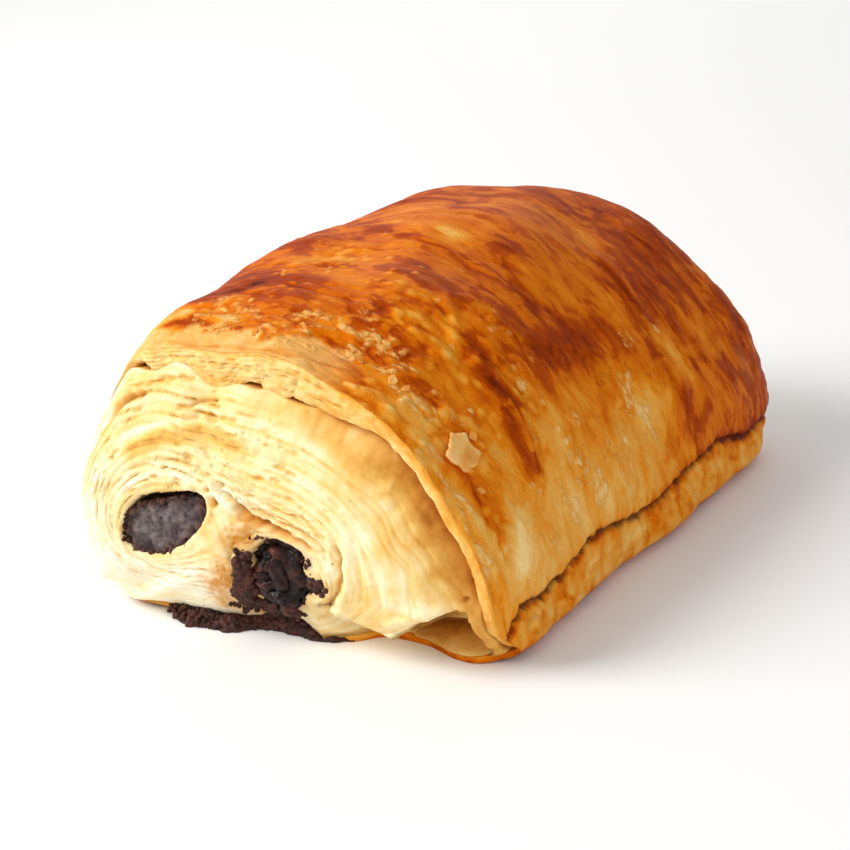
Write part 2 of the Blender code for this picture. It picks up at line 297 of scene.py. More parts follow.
def lip_gap(x, z):
    """Width of the dark slit inside the wrap at the near end, for a point of its rim."""
    slit_a = 0.85 * bump(x, -2.6, 2.2) * (z > 30)
    slit_b = 0.75 * bump(x, 7.5, 4.0) * (z > 30)
    right = 0.9 * ease(10, 16, x) * ease(10, 15, z)
    rag = 1 + 0.35 * noise(x / 2.7, z / 2.7, 4.0)
    return 0.14 - 0.5 * ease(-9, -16, x) * ease(10, 20, z) + (slit_a + slit_b + right) * rag


# ------------------------------------------------------------------ mesh helpers
def make_mesh(name, verts, quads, tris=None, smooth=True):
    """A mesh from arrays: verts (n,3) in mm, quads (m,4), tris (k,3)."""
    verts = put(verts)
    me = bpy.data.meshes.new(name)
    quads = np.asarray(quads, np.int32).reshape(-1, 4)
    tris = np.zeros((0, 3), np.int32) if tris is None else np.asarray(tris, np.int32).reshape(-1, 3)
    loops = np.concatenate([quads.ravel(), tris.ravel()]).astype(np.int32)
    sizes = np.concatenate([np.full(len(quads), 4), np.full(len(tris), 3)]).astype(np.int32)
    starts = np.concatenate([[0], np.cumsum(sizes)[:-1]]).astype(np.int32)
    me.vertices.add(len(verts))
    me.vertices.foreach_set("co", verts.astype(np.float32).ravel())
    me.loops.add(len(loops))
    me.loops.foreach_set("vertex_index", loops)
    me.polygons.add(len(sizes))
    me.polygons.foreach_set("loop_start", starts)
    me.polygons.foreach_set("use_smooth", np.full(len(sizes), smooth))
    me.update(calc_edges=True)
    me.validate()
    ob = bpy.data.objects.new(name, me)
    bpy.context.scene.collection.objects.link(ob)
    return ob


def give(ob, **fields):
    """Per-point fields that the materials read: one number, or three, a point."""
    for name, values in fields.items():
        values = np.asarray(values, np.float32)
        kind = "FLOAT" if values.ndim == 1 else "FLOAT_VECTOR"
        made = ob.data.attributes.new(name, kind, "POINT")
        made.data.foreach_set("value" if kind == "FLOAT" else "vector", values.ravel())


def grid_quads(rows, cols, wrap=False, start=0):
    """Quads of a rows x cols grid of points; wrap joins the last column to the first."""
    r = np.arange(rows - 1)[:, None]
    c = np.arange(cols if wrap else cols - 1)[None]
    a = start + r * cols + c
    b = start + r * cols + (c + 1) % cols
    return np.stack([a, b, b + cols, a + cols], -1).reshape(-1, 4)


def grid_normals(P, wrap=False):
    du = np.gradient(P, axis=1)
    if wrap:
        du = (np.roll(P, -1, 1) - np.roll(P, 1, 1)) * 0.5
    dv = np.gradient(P, axis=0)
    n = np.cross(du, dv)
    return n / (np.linalg.norm(n, axis=-1, keepdims=True) + 1e-9)


def inward(x, z, blur=6):
    """In-plane unit vectors pointing into a closed counterclockwise outline."""
    dx, dz = np.roll(x, -1) - np.roll(x, 1), np.roll(z, -1) - np.roll(z, 1)
    nx, nz = -dz, dx
    n = np.hypot(nx, nz) + 1e-9
    nx, nz = nx / n, nz / n
    for _ in range(blur):
        nx = (np.roll(nx, 1) + nx + np.roll(nx, -1)) / 3
        nz = (np.roll(nz, 1) + nz + np.roll(nz, -1)) / 3
    n = np.hypot(nx, nz) + 1e-9
    return nx / n, nz / n


# ------------------------------------------------------------------ crust
NU, NV, NEAR_ROWS, FAR_ROWS = 410, 196, 27, 14

# the ragged front of the browned skin, (arc, y), as it runs over the top
BROWN_FRONT = np.array([(-60, -41), (-40, -40.5), (-26.2, -39.2), (-17.8, -42.7), (-16.7, -40.9), (-11.1, -42.5),
                        (-7.2, -40.4), (-2.4, -42.6), (1.6, -39.4), (4.4, -38.0), (8.8, -37.6), (14.3, -39.2),
                        (18.3, -39.3), (20.9, -41.4), (26.2, -40.6), (29.5, -39.8), (35, -41.0), (39.3, -43.0),
                        (46, -46.0), (60, -48.0)])
# overlapping skins: the left side of each line lies on top
OVERLAPS = [
    ([(13.0, -17.5), (18.5, -16.2), (23.5, -16.0), (27.8, -14.2), (29.8, -7.6), (31.5, -3.4), (34.0, -1.0),
      (37.6, -2.6), (40.0, -6.2)], 0.55, 5.0),
    ([(17.0, 18.2), (22.3, 17.4), (29.8, 16.4), (37.3, 13.6), (43.5, 13.0), (49, 14.5)], 0.5, 4.0),
    ([(30.5, 27.0), (38.0, 24.5), (45.5, 25.5)], 0.35, 3.5),
    ([(-34, -12.0), (-22, -17.5), (-10, -19.0), (-1, -18.0)], 0.22, 4.0),
    ([(-30, 12.0), (-18, 6.0), (-4, 4.5), (8, 7.0)], 0.20, 4.5),
    ([(-46, -20.0), (-38, -14.0), (-33, -2.0)], 0.4, 4.0),
    ([(-44, 22.0), (-36, 17.0), (-28, 20.0)], 0.35, 4.0),
]
GROOVES = [
    ([(22.0, -21.0), (27.1, -22.6), (31.3, -21.6), (35.2, -24.2), (39.7, -25.4), (44.5, -27.6)], 0.35, 0.55, 0.9),
    ([(17.5, -24.0), (22.5, -27.5), (27.0, -31.0)], 0.2, 0.5, 0.45),
    ([(-24.0, -27.5), (-16.0, -28.3), (-10.5, -27.4)], 0.22, 0.35, 0.75),
    ([(-20.0, -22.0), (-12.0, -23.6), (-5.0, -23.0)], 0.18, 0.35, 0.6),
    ([(33.0, 34.0), (40.0, 30.0), (46.0, 31.0)], 0.25, 0.5, 0.6),
]
RIDGES = [
    ([(0.2, -41.3), (2.6, -37.2), (6.5, -35.4), (11.5, -34.6)], 0.55, 1.0),
    ([(12.0, -17.2), (16.5, -20.8), (21.5, -26.0)], 0.45, 1.1),
    ([(14.5, -38.6), (18.0, -36.0), (20.5, -33.5)], 0.35, 0.9),
    ([(24.5, -37.0), (30.0, -35.0)], 0.25, 1.2),
    ([(-19.0, -39.6), (-12.0, -38.8), (-6.0, -37.4)], 0.3, 0.9),
]
# broad darker (+) and paler (-) strokes in the bake: line, half width, how much
STROKES = [
    ([(-34, -36), (-28, -37.6), (-23, -38.9), (-19.0, -37.2)], 1.2, -0.30),
    ([(24.5, -23.6), (28.0, -25.6), (32.0, -27.0), (36.5, -28.2), (41.6, -29.8), (45.5, -31.0)], 1.5, 0.16),
    ([(30.0, -24.2), (34.0, -24.6), (38.0, -25.9), (41.4, -27.0), (44.6, -28.2)], 0.6, 0.18),
    ([(17.0, -23.6), (21.5, -23.4), (26.0, -23.2)], 1.4, 0.14),
    ([(14.0, -27.0), (18.5, -28.5), (23.0, -30.4), (26.0, -31.8)], 0.8, 0.10),
    ([(34.0, -20.5), (39.0, -20.0), (45.0, -21.5)], 2.2, -0.07),
    ([(31.0, -33.0), (37.0, -33.5), (43.0, -35.0)], 2.2, -0.02),
    ([(43.0, -35.0), (48.0, -37.0), (54.0, -38.0)], 1.6, -0.14),
    ([(19.0, 18.2), (24.4, 16.7), (29.6, 15.9), (34.3, 17.6)], 0.9, 0.15),
    ([(33.0, 14.9), (37.5, 15.8), (42.0, 16.6), (46.5, 18.4)], 2.8, -0.13),
    ([(34.0, 12.8), (40.4, 12.2)], 1.2, 0.12),
    ([(-2.0, -26.5), (4.0, -28.0), (10.0, -27.4)], 1.0, 0.08),
    ([(-24.0, -44.4), (-12.0, -45.3), (-3.0, -45.1), (4.0, -43.8), (10.0, -41.8), (15.0, -40.6)], 0.5, 0.34),
    ([(-24.0, -31.0), (-18.0, -30.2), (-13.0, -29.4)], 0.7, 0.12),
    ([(20.0, -13.0), (26.0, -12.0), (30.0, -9.0)], 1.6, 0.10),
    ([(-14.0, 0.0), (-6.0, -4.5), (2.0, -6.0), (8.0, -7.4)], 1.2, 0.10),
]
# places where the top skin has flaked off: (arc, y, radii, how strong)
PEELED = [(21.5, -38.4, 1.9, 1.2, 1.0), (18.7, -39.4, 1.6, 1.0, 1.0), (8.6, -38.6, 2.6, 1.1, 0.9),
          (11.6, -33.4, 1.0, 0.7, 0.9), (14.8, -33.2, 1.3, 0.8, 0.9), (13.0, -35.4, 0.9, 0.7, 0.8),
          (16.6, -34.8, 0.8, 0.6, 0.8), (4.3, -40.4, 1.5, 0.8, 0.9), (0.6, -41.8, 1.6, 0.9, 0.9),
          (-8.6, -41.2, 1.6, 0.9, 0.9), (-13.5, -42.0, 2.0, 0.8, 0.7), (28.4, -32.4, 0.8, 0.9, 0.8),
          (39.4, -15.0, 2.0, 1.7, 0.9), (31.4, -20.8, 1.3, 1.0, 0.9), (38.6, -25.0, 1.2, 0.6, 0.8), (45.8, -18.6, 3.6, 2.0, 0.9),
          (50.4, -15.6, 3.2, 2.0, 0.9), (50.6, -22.6, 3.0, 2.2, 0.9), (47.2, -24.5, 2.2, 1.2, 0.7),
          (43.3, -9.6, 2.8, 1.2, 0.6), (46.2, -5.0, 4.4, 1.6, 0.7), (42.0, 1.6, 4.6, 2.4, 0.8),
          (38.6, 2.4, 2.6, 2.6, 0.7), (46.5, 3.5, 3.4, 2.0, 0.7), (53.0, -29.0, 2.8, 2.0, 0.5),
          (44.0, -36.0, 2.0, 1.4, 0.5), (35.0, -37.5, 1.6, 1.2, 0.6), (38.2, -39.0, 1.5, 1.0, 0.6),
          (41.0, -33.0, 0.8, 0.8, 0.6), (52.5, -9.0, 2.6, 1.6, 0.6), (52.0, 4.5, 2.2, 2.6, 0.5),
          (-2.8, 17.5, 1.6, 0.8, 0.35), (33.6, 8.4, 2.6, 2.0, 0.5), (35.0, 17.0, 3.6, 1.3, 0.5),
          (-44, -24, 3.5, 2.4, 0.8), (-50, -16, 3.0, 3.0, 0.8), (-41, -6, 3.0, 2.0, 0.6), (-52, 4, 3.0, 3.6, 0.7),
          (-46, 18, 3.4, 2.6, 0.7), (-53, 28, 2.6, 3.0, 0.6), (52, 24, 2.6, 2.2, 0.4), (-38, -33, 2.4, 1.6, 0.7)]


def crust_grid():
    k = np.linspace(0, 1, NV)
    share = 0.60 * k + 0.40 * k**2.2
    xn, zn, an = section(-1.0, NU)
    xn, zn = flank(xn, np.full_like(xn, -48.0), zn)
    zn = np.maximum(zn, 0)
    xf, zf, af = section(FAR_RIM_AT, NU)
    xf, zf = flank(xf, np.full_like(xf, 47.0), zf)
    y0, y1 = near_rim_y(xn, zn), far_rim_y(xf, np.maximum(zf, 0))
    lip = lip_share(xn, zn)
    calm = 1 - 0.6 * ease(10, 22, xn)
    y0 = y0 + (0.15 + 0.85 * lip) * calm * (0.42 * noise(an / 3.4, 2.0) + 0.22 * noise(an / 1.2, 5.0))
    y1 = y1 + 0.35 * noise(af / 3.1, 8.0) + 0.15 * noise(af / 1.1, 1.0)
    P, arc = [], []
    for s in share:
        x, z, a = section(-1 + s * (1 + FAR_RIM_AT), NU)
        y = y0 + (y1 - y0) * s
        x, z = flank(x, y, z)
        P.append(np.stack([x, y, np.maximum(z, 0.0)], -1))
        arc.append(a)
    return np.array(P), np.array(arc)


def crust_fields(P, arc):
    """Relief of the wrap's skin in mm, and what its look is made of, at every point of the grid."""
    x, y, z = P[..., 0], P[..., 1], P[..., 2]
    a = arc
    from_near, from_far = y - y[:1], y[-1:] - y
    up = ease(0.4, 4.0, z)
    top = ease(10, 20, z)
    foot = np.where(x > 0, ease(0.3, -0.6, z - crease_height(x, y)), ease(0.5, -0.8, z - crease_height(x, y)))
    foot = foot * (np.abs(x) > 24)
    yw = y + 2.2 * fbm(a / 24, y / 17, seed=1) + 0.05 * a * ease(0, 40, a)
    aw = a + 3.0 * fbm(a / 30, y / 12, seed=4)

    streak = fbm(aw / 26, yw / 3.4, octaves=3, seed=5)
    fine = fbm(aw / 11, yw / 1.15, octaves=3, seed=6)
    soft = fbm(aw / 15, yw / 11, octaves=2, seed=7)
    rough_zone = ease(-6, -22, y + 0.25 * (a - 20)) * ease(-30, -8, a) * (1 - 0.5 * ease(40, 50, a))
    near_band = ease(14, 3, from_near) * top
    bubbly = np.clip(0.12 + 0.80 * rough_zone + 0.6 * near_band, 0, 1.2)

    relief = 0.30 * soft + 0.24 * streak + 0.11 * fine * (0.6 + 0.8 * bubbly)
    relief = relief + bubbly * 0.22 * fbm(a / 3.2, y / 2.4, seed=9, octaves=3)
    # wrinkles: sharp little creases that run round the roll
    wrinkle = 1 - np.abs(noise(aw / 17, yw / 2.6, 0.4, seed=12)) * 3.2
    wrinkle = np.clip(wrinkle, 0, 1) ** 2 * ease(-0.1, 0.5, noise(a / 14, y / 9, 2.2, seed=13))
    relief = relief - 0.28 * wrinkle
    # blisters
    d1, d2, who = cells(a / 4.6 + 0.3 * noise(a / 5, y / 5, seed=2), y / 3.6, seed=3)
    keep = ease(0.62, 0.78, who + 0.30 * bubbly - 0.22)
    blister = keep * np.clip(1 - (d1 / (0.30 + 0.22 * who)) ** 2, 0, 1)
    blister = blister * ease(0.35, 0.75, bubbly)
    relief = relief + 0.26 * blister * up
    # crisp bubbled scales just behind the rim
    d4, _, who4 = cells(a / 2.3 + 0.25 * noise(a / 2, y / 2, seed=32), y / 1.7, seed=6)
    scale = ease(0.42, 0.52, who4) * np.clip(1 - (d4 / 0.46) ** 2, 0, 1) ** 0.7 * ease(0.55, 0.95, bubbly)
    scale = scale * ease(-0.2, 0.25, noise(a / 6, y / 4, 5.0, seed=33))
    relief = relief + 0.16 * scale * up
    d1b, _, whob = cells(a / 1.7, y / 1.5, seed=8)
    tiny = ease(0.72, 0.8, whob) * np.clip(1 - (d1b / 0.38) ** 2, 0, 1) * bubbly
    relief = relief + 0.07 * tiny

    dark = np.zeros_like(a)
    high = np.zeros_like(a)
    wob_a, wob_y = a + 0.7 * noise(a / 3, y / 3, 5.0), y + 0.7 * noise(a / 2.6, y / 2.6, 9.0)
    for pts, step, reach in OVERLAPS:
        d, s, side = along(wob_a, wob_y, pts)
        ends = taper(s, 0.12, 0.12)
        over = side > 0
        relief = relief + 0.6 * step * ends * np.where(over, np.exp(-((d / reach) ** 1.5)), -0.35 * np.exp(-d / 0.8))
        # painted shadow: a dark line along each overlap's edge, strongest on the lower skin, where the upper skin's
        # edge would shade it
        dark = np.maximum(dark, 0.22 * ends * np.where(over, 0.5 * np.exp(-((d / 0.35) ** 2)), np.exp(-((d / 0.5) ** 2))))
        high = high + 0.10 * ends * np.where(over, -np.exp(-((d / 1.6) ** 2)), np.exp(-((d / 2.2) ** 2)))
    for pts, depth, width, tone in GROOVES:
        d, s, side = along(wob_a, wob_y, pts)
        line = np.exp(-((d / width) ** 2)) * taper(s, 0.2, 0.2)
        relief = relief - 0.7 * depth * line
        # painted shade: each groove is painted darker along its line
        dark = np.maximum(dark, 0.22 * tone * line)
        high = high + 0.16 * tone * taper(s, 0.2, 0.2) * np.exp(-((d / (2.2 * width)) ** 2))
    crest = np.zeros_like(a)
    for pts, height, width in RIDGES:
        d, s, side = along(wob_a, wob_y, pts)
        line = np.exp(-((d / width) ** 2)) * taper(s, 0.25, 0.25)
        relief = relief + height * line
        crest = np.maximum(crest, line)

    # the browned skin ends in a ragged front behind the rim; flakes are off here and there
    front = np.interp(a, BROWN_FRONT[:, 0], BROWN_FRONT[:, 1])
    rag = 1.3 * noise(a / 2.6, y / 2.6, 1.0, seed=15) + 0.6 * noise(a / 0.9, y / 0.9, 4.0, seed=16)
    bare_rim = ease(0.25, -0.25, y - front - rag) * ease(-50, -30, a) * (1 - ease(3, 15, a)) * top
    patch = np.zeros_like(a)
    for a0, y0, ra, ry, much in PEELED:
        patch = np.maximum(patch, much * np.exp(-(((a - a0) / ra) ** 2) - ((y - y0) / ry) ** 2))
    torn = 0.42 * noise(a / 1.7, y / 1.1, 7.0, seed=17) + 0.25 * noise(a / 0.7, y / 0.5, 2.0, seed=18)
    bare_patch = ease(0.36, 0.50, patch + torn * np.clip(patch * 2.2, 0, 1))
    speck = ease(0.80, 0.84, who * 0 + whob) * ease(0.30, 0.22, d1b) * ease(0.1, 0.5, rough_zone + near_band)
    speck = speck * ease(0.0, 0.4, noise(a / 6, y / 5, 3.0, seed=21))
    bare = np.maximum(bare_rim, 0.9 * speck)
    behind = y - front
    scaly = 0.36 * ease(-0.6, 0.8, behind) * ease(9.5, 4.0, behind + 0.10 * (a - 10)) * ease(-34, -16, a) * ease(34, 24, a) * top
    scaly = scaly + 0.26 * ease(6, 2, from_near) * ease(24, 30, a) * ease(52, 44, a)
    scaly = scaly + 0.12 * rough_zone + 0.10 * ease(38, 46, np.abs(a)) * (1 - foot)
    peel = np.clip(np.maximum(patch, scaly), 0, 1)
    relief = relief - 0.30 * bare_rim * up + 0.10 * bare_patch * up
    curl = np.exp(-(((y - front - rag - 0.5) / 0.35) ** 2)) * (1 - ease(12, 22, a)) * ease(-50, -30, a) * top
    relief = relief + 0.14 * curl * up + 0.2 * speck
    # fine lamination of the bared band
    band_lines = np.sin(2 * np.pi * (from_near + 0.5 * noise(a / 5, y / 2, 3.0)) / 0.95 + 2.2 * noise(a / 7, 1.0))
    relief = relief + 0.07 * bare_rim * band_lines

    # how far each place is baked: 0 pale, 1 nearly burnt
    swirl = fbm(a / 15 + 0.9 * noise(a / 11, y / 8, 1.0, seed=38), y / 6.5 + 0.9 * noise(a / 12, y / 9, 4.0, seed=39), octaves=3, seed=40)
    bake = 0.60 + 0.03 * streak + 0.03 * fine + 0.09 * soft + 0.19 * swirl + 0.08 * high
    bake = bake + 0.04 * ease(2, -14, a) * ease(-40, -34, y)
    right = ease(27, 40, a)
    low_mid = ease(12, -10, y + 0.2 * (40 - a))
    bake = bake - 0.15 * right * low_mid
    bake = bake - 0.13 * ease(40, 50, a) * low_mid
    bake = bake + 0.07 * spot(a, y, 42, -26, 12, 18)
    bake = bake - 0.16 * ease(-28, -44, a) * ease(20, -20, y) - 0.08 * ease(-36, -50, a)
    bake = bake + 0.06 * ease(12, 34, y) * (1 - 0.4 * ease(46, 54, a))
    sa, sy = a + 1.6 * noise(a / 5, y / 4, 2.0, seed=34), y + 1.2 * noise(a / 5, y / 3, 6.0, seed=35)
    for a0, y0, ra, ry, much in ((30, -3, 5, 7, 0.20), (34, -14, 4, 5, 0.10), (24, -19, 5, 3.5, 0.08), (-9, 4, 8, 5, -0.10),
                                 (1, -2, 6, 3.5, -0.10), (4.2, -2, 2.4, 1.2, -0.12), (12.5, 2.5, 4, 3, 0.10),
                                 (24, 33, 8, 8, 0.08), (47, 19, 4, 5, 0.06), (37.4, 2, 3, 3, -0.08),
                                 (43.7, 5.8, 4, 4.5, -0.10), (-20, -33.5, 4, 2.6, 0.06), (-12, -28, 6, 2.5, 0.08),
                                 (-18, -40, 3, 1.6, 0.12), (6, -16.5, 10, 4, 0.06), (34, -32, 6, 4, -0.04), (46, -36, 6, 4, -0.12),
                                 (51, -37, 4, 5, -0.14), (20, -37, 7, 3, 0.04), (8, -37, 8, 2.5, 0.04), (40, -41, 8, 2.5, 0.04), (-30, -12, 8, 6, 0.04), (-2, 20, 5, 1.4, -0.08),
                                 (44, -43, 6, 3.5, 0.03), (33, -44, 6, 2.5, -0.04), (38, 29, 5, 6, -0.12), (28, 36, 4, 4, -0.05),
                                 (-15, -28, 9, 9, 0.08), (-3, 18, 6, 4, 0.06), (22, -40, 5, 2.2, -0.12), (22, -31, 4, 2.4, -0.04), (27, 36, 5, 5, 0.07),
                                 (39, 16.5, 4, 4, -0.04), (49, 26, 4, 7, -0.06), (52, -22, 5, 5, 0.07),
                                 (18.5, -43, 6, 1.2, -0.12), (10, -31, 5, 2, 0.08), (45, 4.6, 4, 4, -0.10), (33, -29, 4, 2.4, 0.03)):
        bake = bake + much * spot(sa, sy, a0, y0, ra, ry)
    for pts, width, much in STROKES:
        d, s, side = along(sa, sy, pts)
        bake = bake + much * np.exp(-((d / width) ** 2)) * taper(s, 0.2, 0.2)
    bake = bake - 0.08 * crest - 0.10 * blister * bubbly - 0.06 * tiny + 0.09 * wrinkle - 0.15 * scale
    # the skin pales towards the rims
    edge = ease(9.0, 0.5, from_near + 1.2 * noise(a / 4, y / 4, 6.0)) * top
    edge_near = ease(2.6, 0.4, from_near + 0.8 * noise(a / 2, y / 2, 6.0)) * top
    bake = bake - 0.07 * edge - 0.04 * edge_near * ease(10, 24, a)
    bake = bake - 0.30 * ease(-22, -34, a) * ease(13, 3, from_near + 3.2 * fbm(a / 6, y / 5, 3.0, seed=45)) * up
    bake = bake - 0.10 * ease(5, 0.5, from_far) * top
    # foot and base
    foot_tone = 0.43 + 0.18 * fbm(a / 4, y / 6, seed=23) + 0.14 * fbm(a / 1.2, y / 2.0, seed=24, octaves=2)
    foot_tone = foot_tone + 0.24 * ease(2.4, 0.2, z) - 0.12 * spot(a, y, 60, -8, 4, 7) + 0.06 * ease(-38, -46, y)
    bake = mix(bake, foot_tone, foot)
    under = (z < 0.35) & (np.abs(x) < 35.5)
    base_tone = 0.60 + 0.16 * fbm(x / 9, y / 9, seed=25) + 0.10 * noise(x / 1.8, y / 1.8, seed=26)
    base_tone = base_tone - 0.16 * ease(42, 47, np.abs(y))
    bake = np.where(under, base_tone, bake)

    # the seam above the foot
    gap = np.abs(z - crease_height(x, y))
    gap = np.abs(z - crease_height(x, y) + 0.35 * noise(y / 1.7, 3.0) + 0.20 * noise(y / 0.7, 6.0))
    seam_width = np.clip(0.50 + 0.34 * noise(y / 2.1, 8.0) + 0.16 * noise(y / 0.8, 5.0), 0.14, 1.1)
    seam_line = np.exp(-((gap / seam_width) ** 2)) * (np.abs(x) > 30)
    seam = seam_line * (1.04 + 0.40 * noise(y / 4.0, 2.0) + 0.2 * ease(-34, -40, y)) * np.where(x > 0, 1, 0.7)
    relief = relief - 0.30 * seam_line
    dark = np.maximum(dark, np.clip(seam, 0, 0.95))
    bake = bake + 0.12 * np.exp(-((gap / 1.6) ** 2)) * (np.abs(x) > 30)
    # an oval scar on the foot, by the near corner
    ring = np.hypot((y + 38.6 + 0.3 * noise(y, z, 2.0)) / 1.8, (z - 4.4) / 1.2)
    scar = np.abs(ring - 1) * (x > 30) + 9 * (x <= 30)
    relief = relief - (0.22 * np.exp(-((scar / 0.30) ** 2)) - 0.25 * np.exp(-(ring**2) * 2) * (x > 30))
    dark = np.maximum(dark, 0.30 * np.exp(-((scar / 0.22) ** 2)) * ease(-0.3, 0.3, noise(y / 1.2, z / 1.2, 4.0)))
    dark = np.maximum(dark, 0.8 * spot(y, z, 43.5, 8.3, 1.4, 1.2) * (x > 28))
    pit = ease(0.86, 0.9, whob) * ease(0.22, 0.12, d1b) * (1 - speck)
    dark = np.maximum(dark, 0.35 * pit * top)

    relief = relief * up
    relief = relief + foot * up * (0.50 * fbm(a / 2.6, y / 3.0, seed=28, octaves=4) + 0.14 * noise(a / 0.9, y / 1.1, seed=29))
    bake = bake - foot * 0.11 * ease(0.05, 0.45, fbm(a / 2.2, y / 2.8, seed=43)) + foot * 0.10 * ease(0.0, 0.4, fbm(a / 3.0, y / 4.0, seed=44))
    flank_low = ease(38, 46, np.abs(a)) * (1 - foot)
    relief = relief + flank_low * up * (0.26 * fbm(a / 3.0, y / 2.2, seed=36) + 0.12 * fbm(a / 1.1, y / 0.8, seed=37))
    bare = np.where(under, 0, bare * (1 - 0.7 * foot))
    # painted sheen: soft greyish-pink patches where the glaze would catch the light, painted into the colour
    sheen = (0.9 * spot(a, yw, 4, -15.5, 11, 3.4) + 0.9 * spot(a, yw, -3, 19, 9, 3) + 0.6 * spot(a, yw, 13, 14, 6, 2.5)
             + 0.6 * spot(a, yw, 47, 38.5, 6, 3) + 0.4 * spot(a, yw, 33, 17.5, 4, 1.2))
    sheen = np.clip(sheen * ease(-0.25, 0.45, fbm(aw / 20, yw / 1.6, octaves=2, seed=31)), 0, 1)
    peel = np.where(under, 0, peel * (1 - 0.6 * foot))
    return relief, np.clip(bake, 0.02, 1), np.clip(bare, 0, 1), np.clip(dark, 0, 1), sheen, peel


def layer_edges(x, z, t, pitch, seed):
    """How far the leaves of a cut laminated edge stand out: t is the depth into the stack, mm."""
    k = t / pitch + 0.35 * noise(x / 6, z / 6, 1.3, seed=seed)
    i = np.floor(k)
    f = k - i
    def leaf(n):
        return (0.30 * noise(x / 4.5, z / 4.5, n * 3.7, seed=seed) + 0.22 * noise(x / 1.4, z / 1.4, n * 5.3, seed=seed)
                + 0.10 * noise(x / 0.6, z / 0.6, n * 2.9, seed=seed))
    a, b = leaf(i), leaf(i + 1)
    body = mix(a, b, ease(0.72, 1.0, f))
    slit = np.exp(-(((f - 0.86) / 0.13) ** 2)) * ease(-0.35, 0.5, noise(x / 3.5, z / 3.5, i * 4.1, seed=seed + 2))
    return body, slit


def rim_rows(ring, arc, sign, rows, reach, seed):
    """The wrap's cut edge and its inside, as rings that follow the rim ring."""
    x0, y0, z0 = ring[:, 0], ring[:, 1], ring[:, 2]
    nx, nz = inward(x0, z0)
    thick = lip_thickness(x0, z0, near=sign < 0)
    lip = lip_share(x0, z0)
    plane = near_plane if sign < 0 else far_plane
    face = rows - 8
    P, kind = [], []
    for j in range(1, face + 1):
        s = j / face
        t = thick * s
        x, z = x0 + nx * t, z0 + nz * t
        flat = plane(x, z)
        start = y0 - plane(x0, z0)
        pitch = mix(0.62, 0.42, ease(8, 20, x0)) if sign < 0 else 0.62
        body, slit = layer_edges(x, z, t, pitch + 0.1 * noise(arc / 9, 2.0), seed)
        plain = 1 - 0.75 * ease(8, 18, x0) if sign < 0 else 1.0
        body, slit = body * plain, slit * plain
        rounded = 0.45 * np.sin(np.pi * np.clip(s, 0, 1)) ** 0.7 * (0.25 + 0.75 * plain)
        torn = 0.24 * noise(arc / 1.3, t / 0.8, 3.0, seed=seed + 5) + 0.12 * noise(arc / 0.55, t / 0.5, 6.0, seed=seed + 6)
        proud = lip * (rounded + (body * 0.8 + torn * (0.35 + 0.65 * plain)) * ease(0, 0.2, s) - 0.34 * slit * ease(0.05, 0.2, s))
        tuck = 0.5 * (1 - lip) * s
        y = flat + start * (1 - 0.4 * s * lip) + (sign * proud - sign * tuck)
        P.append(np.stack([x, y, np.maximum(z, 0.02)], -1))
        kind.append(np.stack([t, slit, body], -1))
    for j in range(1, rows - face + 1):
        s = j / (rows - face)
        t = thick + 0.10 + (0.25 + (0.5 * ease(-5, -20, x0) if sign < 0 else 0.0)) * s
        x, z = x0 + nx * t, z0 + nz * t
        y = P[face - 1][:, 1] - sign * reach * s**1.3
        P.append(np.stack([x, y, np.maximum(z, 0.02)], -1))
        # the inside rows carry a rising slit share, which the edge's colour turns into painted shade
        kind.append(np.stack([t + reach * s, 0.6 * s + 0 * t, 0 * t], -1))
    return np.array(P), np.array(kind)


